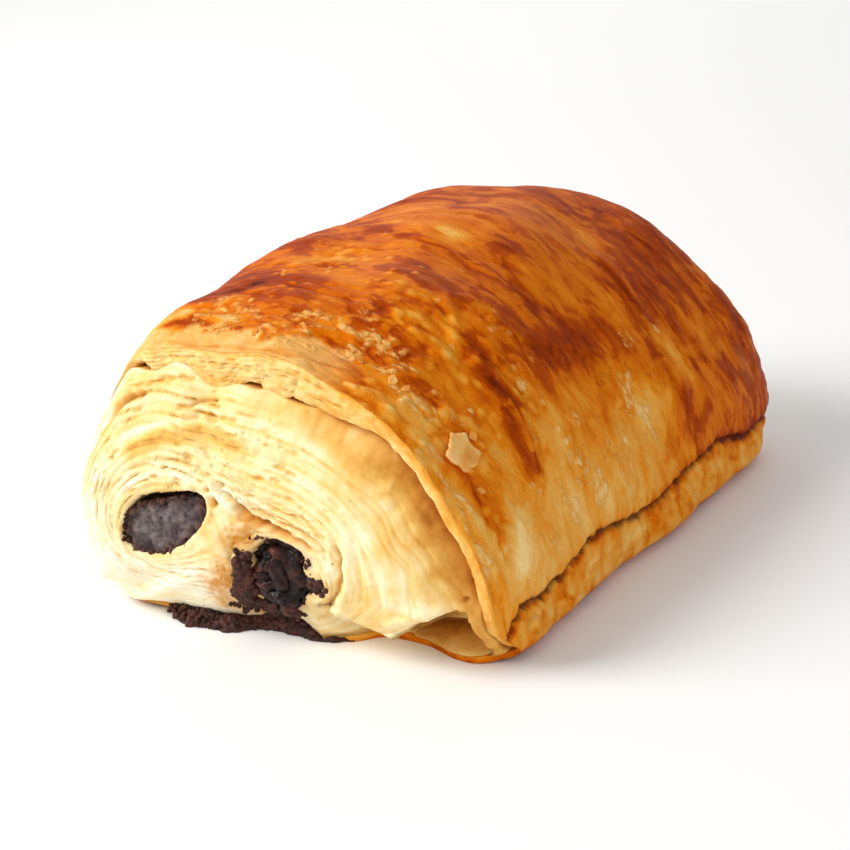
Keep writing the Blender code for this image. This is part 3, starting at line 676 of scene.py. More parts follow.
def build_crust():
    P, arc = crust_grid()
    n = -grid_normals(P, wrap=True)
    relief, bake, bare, dark, sheen, peel = crust_fields(P, arc)
    P = P + n * relief[..., None]
    P[..., 2] = np.maximum(P[..., 2], 0)
    near, nk = rim_rows(P[0], arc[0], -1, NEAR_ROWS, mix(9.0, 3.2, ease(-5, -20, P[0][:, 0])), 41)
    far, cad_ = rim_rows(P[-1], arc[-1], 1, FAR_ROWS, 5.0, 47)
    rings = np.concatenate([near[::-1], P, far])
    arcs = np.concatenate([np.repeat(arc[:1], NEAR_ROWS, 0), arc, np.repeat(arc[-1:], FAR_ROWS, 0)])

    def edge_look(k, rows, ring):
        t, slit, body = k[..., 0], k[..., 1], k[..., 2]
        z = ring[..., 2]
        low = ease(5.0, 1.0, z)
        # painted shade: the slits between the leaves are painted darker
        b = 0.13 + 0.10 * noise(arcs[:rows] / 5, t, seed=50) - 0.12 * body + 0.20 * slit
        b = b + 0.10 * noise(arcs[:rows] / 1.1, t / 0.5, seed=51)
        right_side = ease(4, 20, ring[..., 0])
        b = b + 0.10 * right_side + (0.14 + 0.12 * right_side) * np.exp(-t / 0.35) + 0.22 * low * ease(-34, -20, ring[..., 0]) - 0.10 * ease(-14, -26, ring[..., 0])
        inside = np.clip(k[..., 1] * 0, 0, 1)
        # painted shade: the wrap's inside is painted darker the deeper it runs behind the lip
        depth = ease(0, 6, t - t[rows - 9][None])
        b = b + 0.26 * depth * (1 - low) + 0.10 * depth * low
        return b, 0.10 * slit + inside
    nb, nd = edge_look(nk, NEAR_ROWS, near)
    fb, fd = edge_look(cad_, FAR_ROWS, far)
    bake = np.concatenate([nb[::-1], bake, fb])
    dark = np.concatenate([nd[::-1], dark, fd])
    bare = np.concatenate([0.5 * np.ones_like(nb), bare, 0.5 * np.ones_like(fb)])
    sheen = np.concatenate([0 * nb, sheen, 0 * fb])
    peel = np.concatenate([0 * nb, peel, 0 * fb])
    edge = np.concatenate([np.ones_like(nb), 0 * arc, np.ones_like(fb)])
    rows = len(rings)
    ob = make_mesh("crust", rings.reshape(-1, 3), grid_quads(rows, NU, wrap=True)[:, ::-1])
    flow = np.stack([arcs, rings[..., 1], rings[..., 2] * 0], -1)
    flow[..., 2] = edge * 40
    flow[:NEAR_ROWS, :, 1] = nk[::-1, :, 0]
    flow[-FAR_ROWS:, :, 1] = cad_[..., 0]
    give(ob, flow=flow.reshape(-1, 3), bake=np.clip(bake, 0, 1).ravel(), bare=bare.ravel(), dark=dark.ravel(),
         sheen=sheen.ravel(), edge=edge.ravel(), peel=peel.ravel())
    return ob, P, arc


# ------------------------------------------------------------------ the layered ends
def disc_grid(mx, mz):
    """A square grid bent onto the unit disc (radius, angle), nearly even in area."""
    a = np.linspace(-1, 1, mx)[None] * np.ones((mz, 1))
    b = np.linspace(-1, 1, mz)[:, None] * np.ones((1, mx))
    wide = np.abs(a) >= np.abs(b)
    r = np.where(wide, np.abs(a), np.abs(b))
    with np.errstate(divide="ignore", invalid="ignore"):
        th = np.where(wide, np.where(a >= 0, 0, np.pi) + 0.25 * np.pi * np.nan_to_num(b / a),
                      np.where(b >= 0, 0.5, 1.5) * np.pi - 0.25 * np.pi * np.nan_to_num(a / b))
    return r, np.mod(th, 2 * np.pi)


def outline(t, y, near=True):
    """The roll's outline at an end: points, and by angle its reach, lip and gap."""
    x, z = dense_section(t, 2880)
    x, z = flank(x, np.full_like(x, y), z, groove_depth=0.35)
    z = np.maximum(z, 0)
    nx, nz = inward(x, z, blur=30)
    thick = lip_thickness(x, z, near)
    gap = lip_gap(x, z) if near else 0.2 + 0.3 * ease(0, 20, z) * (0.6 + 0.4 * noise(x / 4, z / 4, 2.0))
    bx, bz = x + nx * (thick + gap), z + nz * (thick + gap)
    th = np.mod(np.arctan2(bz - CENTRE[1], bx - CENTRE[0]), 2 * np.pi)
    r = np.hypot(bx - CENTRE[0], bz - CENTRE[1])
    if near:
        shift = near_rim_y(x, z) - near_plane(x, z) - left_round(x)
    else:
        shift = far_rim_y(x, z) - far_plane(x, z) + left_round(x)
    order = np.argsort(th)
    pad = lambda v: np.tile(v[order], 3)
    ths = th[order]
    ths = np.concatenate([ths - 2 * np.pi, ths, ths + 2 * np.pi])
    return x, z, ths, pad(r), pad(thick), pad(shift)


def distance_to(px, pz, x, z):
    """Distance from each (x, z) to the nearest of the points (px, pz)."""
    shape = x.shape
    x, z = x.ravel().astype(np.float32), z.ravel().astype(np.float32)
    px, pz = px.astype(np.float32), pz.astype(np.float32)
    out = np.empty(len(x), np.float32)
    for k in range(0, len(x), 8192):
        dx = x[k:k + 8192, None] - px[None]
        dz = z[k:k + 8192, None] - pz[None]
        out[k:k + 8192] = np.sqrt((dx * dx + dz * dz).min(1))
    return out.reshape(shape).astype(float)


def end_macro(x, z, inwards, thick, dome, near):
    lip = lip_share(x, z)
    past = np.clip(inwards - thick, 0, None)
    rounding = left_round(x) * (1 - np.clip(inwards / 7, 0, 1)) ** 2
    free = dome * (1 - (1 - np.clip(inwards / 10, 0, 1)) ** 2)
    held = 0.35 + (dome - 0.35) * (1 - (1 - np.clip(past / 13, 0, 1)) ** 2)
    open_side = ease(6, 17, x) * ease(8, 13, z) + 0.18 * ease(-4, 8, x) * ease(20, 30, z)
    groove = 3.7 * lip * np.clip(open_side, 0, 1) * np.exp(-((past / 3.0) ** 1.2))
    recess = 1.6 * np.exp(-((x - 3.1) ** 2 + (z - 10.9) ** 2) / 80.0)
    out = rounding + groove - mix(free, held, lip) + recess
    if near:
        out = out + 2.0 * ease(7.5, 0.5, z) * ease(-8, -2, x) * ease(23, 17, x)
        out = out + 0.9 * ease(5, 0, z) * ease(-30, -24, x) * ease(-4, -10, x)
    return out


def ellipse(x, z, bar, grow=0.0):
    """Signed distance, nearly, to a bar's cut face: bar is (x, z, half width, half height, tilt)."""
    cx, cz, hx, hz, tilt = bar
    c, s = math.cos(math.radians(tilt)), math.sin(math.radians(tilt))
    u = ((x - cx) * c + (z - cz) * s) / (hx + grow)
    v = (-(x - cx) * s + (z - cz) * c) / (hz + grow)
    q = (np.abs(u) ** 2.3 + np.abs(v) ** 2.3) ** (1 / 2.3) + 1e-6
    return (q - 1) / q * np.hypot(x - cx, z - cz)


LEFT_NEAR, RIGHT_NEAR = (-16.4, 17.0, 8.4, 5.0, 19.0), (3.1, 10.9, 6.1, 6.4, -22.0)
LEFT_FAR, RIGHT_FAR = (-16.0, 16.0, 8.3, 4.9, 19.0), (5.0, 11.0, 7.9, 4.9, -12.0)

# the bars' broken faces at the near end, and the hollow that the left one sits in
LEFT_FACE = ((-17.0, 16.6), polar([(-25.6, 13.8), (-25.1, 15.8), (-23.9, 17.7), (-22.0, 19.1), (-19.6, 20.0), (-16.8, 20.4),
                                   (-14.8, 21.0), (-12.2, 22.0), (-9.8, 22.2), (-8.3, 21.2), (-8.4, 19.3), (-10.0, 16.9),
                                   (-13.2, 13.9), (-17.4, 11.7), (-20.2, 11.4), (-22.4, 11.3), (-24.6, 12.5)], (-17.0, 16.6), 1))
LEFT_HOLLOW = ((-17.0, 16.8), polar([(-25.2, 13.8), (-24.9, 15.6), (-23.8, 17.5), (-22.2, 19.2), (-20.0, 20.8), (-17.1, 21.6),
                                     (-14.2, 22.0), (-11.0, 22.8), (-8.7, 22.2), (-8.5, 19.8), (-10.2, 17.1), (-13.4, 14.2),
                                     (-17.5, 12.0), (-20.2, 11.8), (-22.4, 11.7), (-24.3, 12.8)], (-17.0, 16.8), 1))
RIGHT_FACE = ((2.2, 11.4), polar([(1.6, 17.4), (3.3, 17.5), (5.4, 17.2), (7.0, 16.4), (7.7, 15.0), (6.9, 13.2), (7.5, 11.7), (9.3, 11.4),
                                  (9.2, 9.9), (6.8, 8.7), (5.5, 7.2), (3.3, 5.4), (0.6, 4.6), (-1.2, 6.0), (-2.9, 7.2),
                                  (-4.4, 8.0), (-4.2, 10.2), (-2.6, 12.0), (-3.2, 13.5), (-1.6, 15.2), (0.0, 16.6)], (2.2, 11.4), 1))

# slits of the near end: points (x, z), depth, half width
SLITS = [
    ([(-27.2, 29.6), (-26.0, 32.0), (-23.6, 34.2), (-19.6, 35.2)], 1.3, 0.50),
    ([(-14.6, 33.9), (-11.0, 34.9), (-7.0, 35.5)], 0.7, 0.32),
    ([(-19.0, 37.2), (-14.5, 38.0), (-11.8, 37.6)], 0.8, 0.32),
    ([(-9.5, 33.5), (-6.0, 33.2), (-3.0, 33.6)], 0.6, 0.35),
    ([(-13.0, 32.8), (-9.6, 33.0)], 0.4, 0.35),
    ([(-7.4, 23.9), (-4.6, 22.7), (-1.9, 20.5), (0.9, 19.3), (4.7, 18.3), (8.0, 17.2), (10.6, 15.8)], 1.7, 0.42),
    ([(-1.0, 21.9), (3.0, 20.4), (7.5, 19.2), (10.8, 17.9), (12.6, 15.8)], 0.8, 0.26),
    ([(1.0, 22.8), (6.0, 21.4), (10.5, 20.0)], 0.5, 0.24),
    ([(-17.5, 26.2), (-13.0, 27.0), (-9.0, 26.0), (-6.0, 24.6)], 0.45, 0.28),
    ([(-23.0, 24.2), (-19.5, 25.6), (-16.5, 25.6)], 0.45, 0.26),
    ([(13.2, 19.6), (13.9, 16.6), (13.4, 12.6), (11.0, 8.6), (7.6, 5.4)], 1.0, 0.50),
    ([(11.6, 14.4), (11.7, 11.6), (10.0, 8.0), (7.0, 5.6)], 0.6, 0.30),
    ([(10.6, 7.4), (8.4, 5.2), (5.8, 4.0)], 0.5, 0.28),
    ([(-27.0, 12.5), (-25.4, 9.4), (-21.5, 7.4), (-16.0, 6.8)], 0.35, 0.26),
    ([(-25.6, 14.0), (-23.6, 10.6), (-19.5, 9.0), (-14.0, 8.6), (-10.6, 9.8)], 0.45, 0.24),
    ([(15.8, 21.5), (17.4, 17.0), (17.4, 12.0), (15.4, 7.6)], 0.22, 0.4),
    ([(12.4, 24.6), (16.6, 21.0), (19.6, 16.0), (20.0, 10.0), (18.6, 6.6)], 0.20, 0.45),
    ([(-33.6, 12.0), (-33.0, 18.5), (-31.0, 24.0), (-29.0, 27.5)], 0.35, 0.26),
    ([(-31.4, 10.0), (-31.0, 16.5), (-29.4, 21.6)], 0.30, 0.24),
]
SWELLS = [
    ([(-24.5, 25.5), (-22.2, 27.9), (-16.0, 30.8), (-9.7, 32.0), (-2.4, 31.0), (3.2, 28.6)], 0.50, 0.55),
    ([(14.9, 20.6), (15.5, 16.8), (15.0, 12.4), (12.4, 7.8), (8.6, 4.6)], 0.45, 0.80),
    ([(-25.2, 18.8), (-22.5, 22.2), (-17.6, 24.0), (-12.4, 24.2), (-8.6, 23.0)], 0.75, 0.95),
    ([(-29.5, 26.5), (-27.8, 30.5), (-24.5, 35.3), (-20.5, 36.6)], 0.35, 0.6),
    ([(17.4, 5.6), (21.5, 7.2), (25.6, 9.2), (30.4, 9.6)], 0.75, 0.9),
    ([(-7.6, 21.6), (-5.8, 17.0), (-6.6, 11.0), (-9.6, 6.4)], 0.45, 2.2),
]


def pocket_mask(x, z):
    """The air pocket by the near right corner, and how high each place lies in it (0..1)."""
    roof = np.interp(x, [17.4, 18.9, 20.4, 24.1, 26.2, 28.4, 30.6, 31.9, 32.6], [0.9, 3.0, 4.2, 7.1, 8.3, 9.3, 9.9, 9.3, 5.0])
    roof = roof + 0.22 * noise(x / 1.4, 2.0)
    inside = ease(-0.15, 0.30, roof - z) * ease(17.6, 18.8, x) * ease(32.7, 32.1, x)
    return inside, np.clip((z - 0.9) / (roof - 0.9 + 1e-6), 0, 1)


def wrap_share(x, z, edge_x, edge_z, reach_at, bars):
    """How far out from the bars each place lies, 0 at the bars to 1 at the wrap, free of creases."""
    step, x0, z0 = 0.5, -42.0, -4.0
    gx, gz = np.meshgrid(x0 + step * np.arange(169), z0 + step * np.arange(117))
    dl, dr = ellipse(gx, gz, bars[0]), ellipse(gx, gz, bars[1])
    h = np.clip(0.5 + 0.5 * (dr - dl) / 3.0, 0, 1)
    core = np.maximum(mix(dr, dl, h) - 3.0 * h * (1 - h) * 0.6, 0)
    out = distance_to(edge_x, edge_z, gx, gz)
    th = np.mod(np.arctan2(gz - CENTRE[1], gx - CENTRE[0]), 2 * np.pi)
    beyond = np.hypot(gx - CENTRE[0], gz - CENTRE[1]) > reach_at(th)
    w = core / np.maximum(core + np.where(beyond, -out, out), 0.5 * core + 1e-6)
    free = ~beyond & (core > 0)
    for _ in range(170):
        mean = 0.25 * (np.roll(w, 1, 0) + np.roll(w, -1, 0) + np.roll(w, 1, 1) + np.roll(w, -1, 1))
        w = np.where(free, mean, w)
    u, v = np.clip((x - x0) / step, 0, 167.999), np.clip((z - z0) / step, 0, 115.999)
    i, j = u.astype(int), v.astype(int)
    fu, fv = u - i, v - j
    return (w[j, i] * (1 - fu) + w[j, i + 1] * fu) * (1 - fv) + (w[j + 1, i] * (1 - fu) + w[j + 1, i + 1] * fu) * fv


def end_surface(x, z, inwards, thick, edge_past, near, bars, w):
    """Relief of a laminated end, mm outward, and what its look is made of."""
    left, right = bars
    dl, dr = ellipse(x, z, left), ellipse(x, z, right)
    k = 3.0
    h = np.clip(0.5 + 0.5 * (dr - dl) / k, 0, 1)
    core = np.maximum(mix(dr, dl, h) - k * h * (1 - h) * 0.6, 0)
    out = np.clip(edge_past, 0, None)
    seed = 60 if near else 90
    warp = 0.038 * fbm(x / 12, z / 12, seed=seed, octaves=2) + 0.006 * fbm(x / 3.6, z / 3.6, seed=seed + 1, octaves=2)
    warp = warp + 0.003 * noise(x / 1.1, z / 1.1, seed=seed + 14) + 0.0015 * noise(x / 0.5, z / 0.5, seed=seed + 15)
    W = 13.0 * np.clip(w + warp * 4 * w * (1 - w), 0, 1)
    reach = core + out
    i = np.floor(W)
    f = W - i

    def leaf(n):
        own = PERM[(n.astype(np.int64) * 7 + seed) & 255] / 255.0 - 0.5
        return (0.30 * own + 0.20 * noise(x / 7.0, z / 7.0, n * 3.7, seed=seed + 2)
                + 0.10 * noise(x / 1.9, z / 1.9, n * 5.3, seed=seed + 3) + 0.08 * noise(x / 0.8, z / 0.8, n * 2.3, seed=seed + 4))
    body = mix(leaf(i), leaf(i + 1), ease(0.62, 1.0, f))
    crest = 0.16 * (1 - np.abs(2 * np.clip(f / 0.86, 0, 1) - 1) ** 2.5)
    open_ = ease(0.05, 0.60, noise(x / 3.6, z / 3.6, i * 4.1, seed=seed + 5))
    slit = np.exp(-(((f - 0.86) / 0.12) ** 2)) * (0.10 + 0.90 * open_)
    # finer leaves inside each
    sub = 3.0 * W + 0.6 * noise(x / 3, z / 3, 8.0, seed=seed + 6)
    fs = sub - np.floor(sub)
    fine = np.abs(2 * fs - 1) ** 1.5 * 0.5 - 0.2
    fine = fine * (0.6 + 0.6 * noise(x / 2.5, z / 2.5, np.floor(sub) * 1.9, seed=seed + 7))
    # pores, drawn out along the leaves
    th = np.arctan2(z - 14.0, x + 6.5)
    u = np.mod(th + 0.5 * np.pi, 2 * np.pi) * 14.0
    d1, _, who = cells(u / 2.1, W * 1.25, seed=5)
    pore = ease(0.62, 0.70, who) * ease(0.44, 0.20, d1) * ease(-0.2, 0.4, noise(x / 7, z / 7, 5.0, seed=seed + 8))
    d3, _, who3 = cells(u / 0.95, W * 2.1, seed=9)
    small = ease(0.70, 0.76, who3) * ease(0.40, 0.18, d3) * ease(-0.1, 0.4, noise(x / 5, z / 5, 9.0, seed=seed + 16))
    pore = np.maximum(pore, 0.7 * small)

    spacing = np.clip(reach / 13.0, 0.3, 2.0)
    calm = ease(0.45, 1.1, spacing)
    lay = 0.35 + 0.65 * calm
    if near:
        # the smooth shoulder of dough that swells under the wrap on the right
        d, s, side = along(x, z, [(-9.0, 34.8), (-1.1, 33.1), (7.1, 31.0), (13.9, 26.2), (18.6, 20.4), (21.2, 13.6), (20.4, 6.0), (18.5, 2.0)])
        smooth = np.where(side > 0, ease(0, 3.2, d), 0)
        smooth = smooth * ease(-6, 5, x)
        half_smooth = ease(10, 15.5, x) * ease(3, 8, z) * (1 - smooth)
        between = ease(1.6, 0.2, np.abs(x + 6.0 + 0.12 * (z - 14)) - 3.4) * ease(23, 20, z)
        lay = lay * (1 - 0.93 * smooth) * (1 - 0.78 * half_smooth) * (1 - 0.55 * between)
        lay = lay * (1 - 0.45 * ease(9, 4, z) * ease(-4, -9, x)) * (1 - 0.5 * ease(4.0, 1.0, z))
    else:
        smooth = ease(12, 18, x) * ease(8, 12, z) * 0.8
        half_smooth = 0 * x
        between = 0 * x
        lay = lay * (1 - 0.8 * smooth)
    fade = ease(0.0, 0.9, out) * ease(0.0, 0.7, core)
    relief = lay * fade * (0.56 * body + 0.8 * crest + 0.15 * fine - 0.46 * slit * calm - 0.42 * pore)
    strand = fbm(x / 1.1, z / 5.5, 3.0, octaves=2, seed=seed + 9)
    relief = relief + smooth * (0.10 * strand + 0.30 * fbm(x / 7, z / 7, seed=seed + 10, octaves=2))
    relief = relief + 0.15 * fbm(x / 1.3, z / 1.0, seed=seed + 11, octaves=3) * (1 - 0.6 * smooth)
    relief = relief + 0.14 * fbm(x / 5.5, z / 4.0, seed=seed + 17, octaves=2) * fade
    # how deep each place lies in a slit, pore or pit; it only darkens the colour, as painted shade
    hollow_shade = lay * fade * (slit * calm + 0.6 * pore)
    lift = lay * (body + crest)
    if near:
        wx, wz = x + 0.35 * noise(x / 1.6, z / 1.6, 2.0), z + 0.35 * noise(x / 1.6, z / 1.6, 6.0)
        for pts, depth, width in SLITS:
            d, s, side = along(wx, wz, pts)
            line = np.exp(-((d / width) ** 2)) * taper(s, 0.2, 0.2)
            relief = relief - depth * line + 0.25 * depth * np.exp(-(((d - 2.2 * width) / width) ** 2)) * taper(s) * (side < 0)
            hollow_shade = np.maximum(hollow_shade, min(1.0, depth) * line)
        # fine parted leaves above the slit between the bars
        d, s, side = along(wx, wz, SLITS[5][0])
        fan = (side > 0) * ease(0.3, 1.0, d) * ease(5.2, 3.0, d) * ease(0.04, 0.25, s) * ease(1.0, 0.85, s)
        fan_lines = np.sin(2 * np.pi * (d + 0.25 * noise(x / 2.5, z / 2.5, 3.0)) / 0.85)
        relief = relief + 0.20 * fan * fan_lines
        hollow_shade = np.maximum(hollow_shade, 0.55 * fan * ease(-0.4, -0.95, fan_lines))
        for px, pz, rx, rz, deep in ((-5.8, 24.1, 0.7, 0.45, 1.3), (-7.3, 21.4, 0.55, 0.75, 1.6), (-2.9, 21.2, 1.0, 0.45, 1.4),
                                     (-8.0, 23.3, 0.4, 0.3, 0.8), (-4.4, 22.9, 0.5, 0.25, 0.9), (1.2, 19.2, 0.9, 0.35, 1.2),
                                     (-25.6, 25.6, 0.35, 0.3, 0.7), (-19.0, 21.9, 0.0, 0.0, 0.0), (-15.6, 25.6, 0.8, 0.25, 0.6)):
            if rx:
                pit = spot(wx, wz, px, pz, rx, rz)
                relief = relief - deep * pit
                hollow_shade = np.maximum(hollow_shade, pit)
        # strands of crumb beside the left bar
        web = 0.7 * spot(x, z, -6.2, 22.9, 1.7, 1.2)
        strands = 1 - np.abs(noise(x / 0.9 + 0.5 * z, z / 0.9, 4.0, seed=77)) * 4
        relief = relief + 0.55 * web * np.clip(strands, 0, 1) - 0.35 * web
        lift = lift + web * (np.clip(strands, 0, 1) + 0.4)
        for pts, height, width in SWELLS:
            d, s, side = along(wx, wz, pts)
            line = np.exp(-((d / width) ** 2)) * taper(s, 0.2, 0.2)
            relief = relief + height * line
            lift = lift + 0.8 * height * line
    return relief, hollow_shade, lift, smooth, between, dl, dr, w


def build_end(near=True):
    mx, mz = (330, 204) if near else (210, 130)
    sign = -1.0 if near else 1.0
    t, y_at = (-1.0, -48.0) if near else (FAR_RIM_AT, 47.0)
    r, th = disc_grid(mx, mz)
    ox, oz, oth, reach, thick, shift = outline(t, y_at, near)
    turn = np.linspace(0, 2 * np.pi, 1440, endpoint=False)
    even = np.interp(turn, oth, reach)
    even = sum(np.roll(even, k) for k in range(-22, 23)) / 45
    evened = lambda a: np.interp(a, np.append(turn, 2 * np.pi), np.append(even, even[0]))
    reach, thick, shift = (np.interp(th, oth, v) for v in (reach, thick, shift))
    rr = r * reach
    x, z = CENTRE[0] + rr * np.cos(th), CENTRE[1] + rr * np.sin(th)
    inwards = distance_to(ox[::2], oz[::2], x, z)
    edge_x, edge_z = CENTRE[0] + evened(th) * np.cos(th), CENTRE[1] + evened(th) * np.sin(th)
    past = distance_to(edge_x[[0, -1]].ravel(), edge_z[[0, -1]].ravel(), x, z)
    past = np.minimum(past, distance_to(edge_x[:, [0, -1]].ravel(), edge_z[:, [0, -1]].ravel(), x, z))
    macro = end_macro(x, z, inwards, thick, DOME if near else FAR_DOME, near)
    bars = (LEFT_NEAR, RIGHT_NEAR) if near else (LEFT_FAR, RIGHT_FAR)
    wrap = wrap_share(x, z, CENTRE[0] + even * np.cos(turn), CENTRE[1] + even * np.sin(turn), evened, bars)
    relief, hollow_shade, lift, smooth, between, dl, dr, w = end_surface(x, z, inwards, thick, past, near, bars, wrap)
    y = (near_plane(x, z) + macro) if near else (far_plane(x, z) - macro)
    y = y + shift * np.exp(-((past / 4.5) ** 1.5))
    P0 = np.stack([x, y, z], -1)
    n = grid_normals(P0)
    n = n * np.sign(n[..., 1:2]) * sign
    lean = 0.45
    n = n * np.array([lean, 1, lean])
    # the bars sit in the dough, under a thin hood
    wob = 0.14 * noise(x / 1.2, z / 1.2, 3.0) + 0.08 * noise(x / 0.5, z / 0.5, 6.0)
    if near:
        gap_l, gap_r = outside(x, z, LEFT_HOLLOW) + wob + 0.2 * ease(19, 16, z), outside(x, z, RIGHT_FACE) + 0.6 + 2 * wob
    else:
        gap_l, gap_r = dl + wob, dr + 2 * wob
    hole_l, hole_r = ease(0.25, -0.20, gap_l), ease(0.45, -0.35, gap_r)
    relief = relief * (1 - hole_l) * (1 - hole_r)
    sunk = 3.4 * np.maximum(hole_l, hole_r)
    rim = np.exp(-(((gap_l - 0.9) / 0.7) ** 2)) * (0.06 + 0.46 * ease(17, 21, z) if near else 0.22)
    P = P0 + n * (relief + rim * (1 - hole_l))[..., None]
    P[..., 1] -= sign * sunk
    pocket, level = 0 * x, 0 * x
    if near:
        pocket, level = pocket_mask(x, z)
        base = np.interp(x, BASE_FRONT[:, 0], BASE_FRONT[:, 1])
        deep_y = np.interp(level, [0, 0.06, 0.14, 0.26, 0.34, 0.42, 0.60, 0.75, 0.90, 1.0], [0.0, 0.9, 2.8, 5.6, 6.4, 4.6, 3.8, 2.4, 0.4, -1.2])
        deep_y = deep_y * ease(17.5, 22.5, x) + 0.35 * noise(x / 2.4, level * 9, 3.0) * ease(0.2, 0.4, level)
        P[..., 1] = mix(P[..., 1], base + deep_y, pocket)
        # a small hole, pushed in and painted dark as shade
        hole = np.hypot((x - 31.3) / 0.45, (z - 11.2) / 0.35)
        P[..., 1] += 0.8 * np.exp(-(hole**2))
        hollow_shade = np.maximum(hollow_shade, 0.8 * np.exp(-(hole**2)))
    P[..., 2] = np.maximum(P[..., 2], 0.05)

    # tone: 0 palest cream, 1 toasted gold
    seed = 70 if near else 95
    tone = 0.31 + 0.22 * fbm(x / 7, z / 7, seed=seed) + 0.13 * fbm(x / 2.2, z / 2.2, seed=seed + 1)
    own = PERM[(np.floor(13 * w).astype(np.int64) * 11 + 5) & 255] / 255.0 - 0.5
    # raised leaves and swells painted paler, and slits, pores and pits darker: painted light and shade
    tone = tone + 0.16 * own * (1 - smooth) - 0.20 * np.clip(lift, -0.7, 0.9) + 0.40 * hollow_shade
    if near:
        # painted shade: the shoulder is painted darker close under the wrap's lip
        tone = tone + smooth * (0.18 + (0.08 + 0.26 * ease(31, 24, z)) * ease(4.5, 0.3, past) + 0.12 * fbm(x / 1.4, z / 5.0, 1.0, seed=seed + 2))
        tone = tone + smooth * (0.12 * spot(x, z, 20, 29, 6, 3) + 0.12 * spot(x, z, 27, 19, 4, 7) - 0.14 * spot(x, z, 17, 23, 4, 3))
        speck_at = spot(x, z, -4.6, 16.6, 1.2, 2.2) * ease(0.15, 0.3, noise(x / 0.55, z / 0.55, 3.0))
        tone = tone + 0.5 * speck_at
        tone = tone + 0.12 * spot(x, z, 7, 20, 5, 3) + 0.10 * spot(x, z, 16, 9, 3, 6) - 0.08 * spot(x, z, -28, 16, 3, 6)
        tone = tone + smooth * (0.12 * ease(18, 26, z) * ease(4, 12, x) - 0.08 * ease(17, 8, z))
        tone = tone + 0.14 * spot(x, z, 18, 10, 5, 3) * (1 - pocket)
        # pale blisters on the shoulder
        d1, _, who = cells(x / 3.1, z / 3.1, seed=14)
        blot = smooth * ease(0.45, 0.6, who) * ease(0.42, 0.15, d1) * ease(20, 26, z)
        tone = tone - 0.12 * blot
        P[..., 1] -= 0.15 * blot
        # faint folds that follow the wrap, set back a little and painted darker as shade
        folds = np.clip(1 - np.abs(noise(past / 1.8 + 0.6 * noise(x / 6, z / 6, 2.0), z / 14, 5.0, seed=78)) * 5, 0, 1)
        folds = smooth * folds * ease(0.8, 2.5, past) * ease(30, 24, z)
        P[..., 1] += 0.22 * folds
        tone = tone + 0.14 * folds
        tone = tone - 0.20 * ease(-26, -33, x) - 0.24 * ease(13, 8, z) * ease(-4, -12, x)
        d, sh, side = along(x, z, [(-24.5, 25.0), (-22.0, 27.4), (-16.0, 30.2), (-9.7, 31.2), (-2.6, 30.2), (3.0, 27.8)])
        band = np.exp(-((d / 1.6) ** 4)) * taper(sh, 0.15, 0.3)
        tone = mix(tone, 0.68 + 0.10 * noise(x / 3, z / 1.2, 4.0), 0.85 * band)
        tone = tone - 0.22 * np.exp(-(((d - 1.7) / 0.5) ** 2)) * (side > 0) * taper(sh, 0.15, 0.3)
        tone = tone + 0.10 * spot(x, z, -8, 36, 12, 3) + 0.12 * spot(x, z, -29, 29, 4, 6) + 0.10 * spot(x, z, -18, 35, 6, 3)
        tone = tone - 0.16 * spot(x, z, 8, 12, 6, 8) - 0.16 * spot(x, z, -4, 22.5, 5, 2.4)
        tone = tone - 0.20 * spot(x, z, 25, 10.4, 6, 1.1) * (1 - pocket)
        tone = tone + 0.10 * np.exp(-(((gap_l - 1.4) / 0.9) ** 2)) * ease(17, 20, z)
        stripes = np.interp(level, [0.0, 0.12, 0.22, 0.30, 0.38, 0.46, 0.56, 0.64, 0.72, 0.82, 0.92, 1.0],
                            [0.90, 0.95, 1.15, 1.2, 1.10, 0.80, 0.95, 1.15, 0.85, 1.15, 0.95, 0.4])
        tone = mix(tone, stripes - 0.36 + 0.14 * noise(x / 2.5, level * 7, 8.0) + 0.12 * noise(x / 0.8, level * 14, 3.0), pocket)
        tone = tone + 0.30 * ease(2.2, 0.6, z) * ease(2, 8, x) * (1 - pocket)
        d, sh, side = along(x, z, [(-1.4, 18.6), (-3.6, 15.4), (-5.6, 12.0), (-8.6, 8.0), (-8.5, 4.6)])
        stain = np.exp(-(((d - 0.3) / 2.2) ** 2)) * ease(-0.6, 0.3, noise(x / 1.3, z / 1.3, 8.0) + 0.2)
        stain = np.maximum(stain, 1.3 * spot(x, z, -5.0, 4.6, 4.6, 3.6))
        stain = np.maximum(stain, 1.1 * spot(x, z, -6.8, 9.0, 2.0, 5.5) * ease(-0.5, 0.2, noise(x / 1.0, z / 1.6, 5.0)))
        stain = np.maximum(stain, 0.9 * spot(x, z, -5.4, 9.6, 2.0, 5.0))
        stain = np.maximum(stain, 0.7 * np.exp(-((np.clip(gap_r, 0, None) / 1.4) ** 2)))
    else:
        stain = 0.5 * np.exp(-((np.clip(gap_r, 0, None) / 1.0) ** 2))
    choc = np.maximum(hole_l * 0.85, hole_r * 0.95)
    if near:
        smear = spot(x, z, -3.8, 10.0, 1.9, 3.0) + 0.9 * spot(x, z, -4.8, 7.0, 1.9, 1.8) + 0.6 * spot(x, z, -2.2, 3.6, 3.0, 1.4) + 0.7 * spot(x, z, 9.0, 10.6, 1.3, 1.0)
        smear = ease(0.42, 0.58, smear + 0.45 * noise(x / 1.1, z / 1.1, 6.0) + 0.2 * noise(x / 0.5, z / 0.5, 6.0))
        choc = np.maximum(choc, 0.92 * smear)
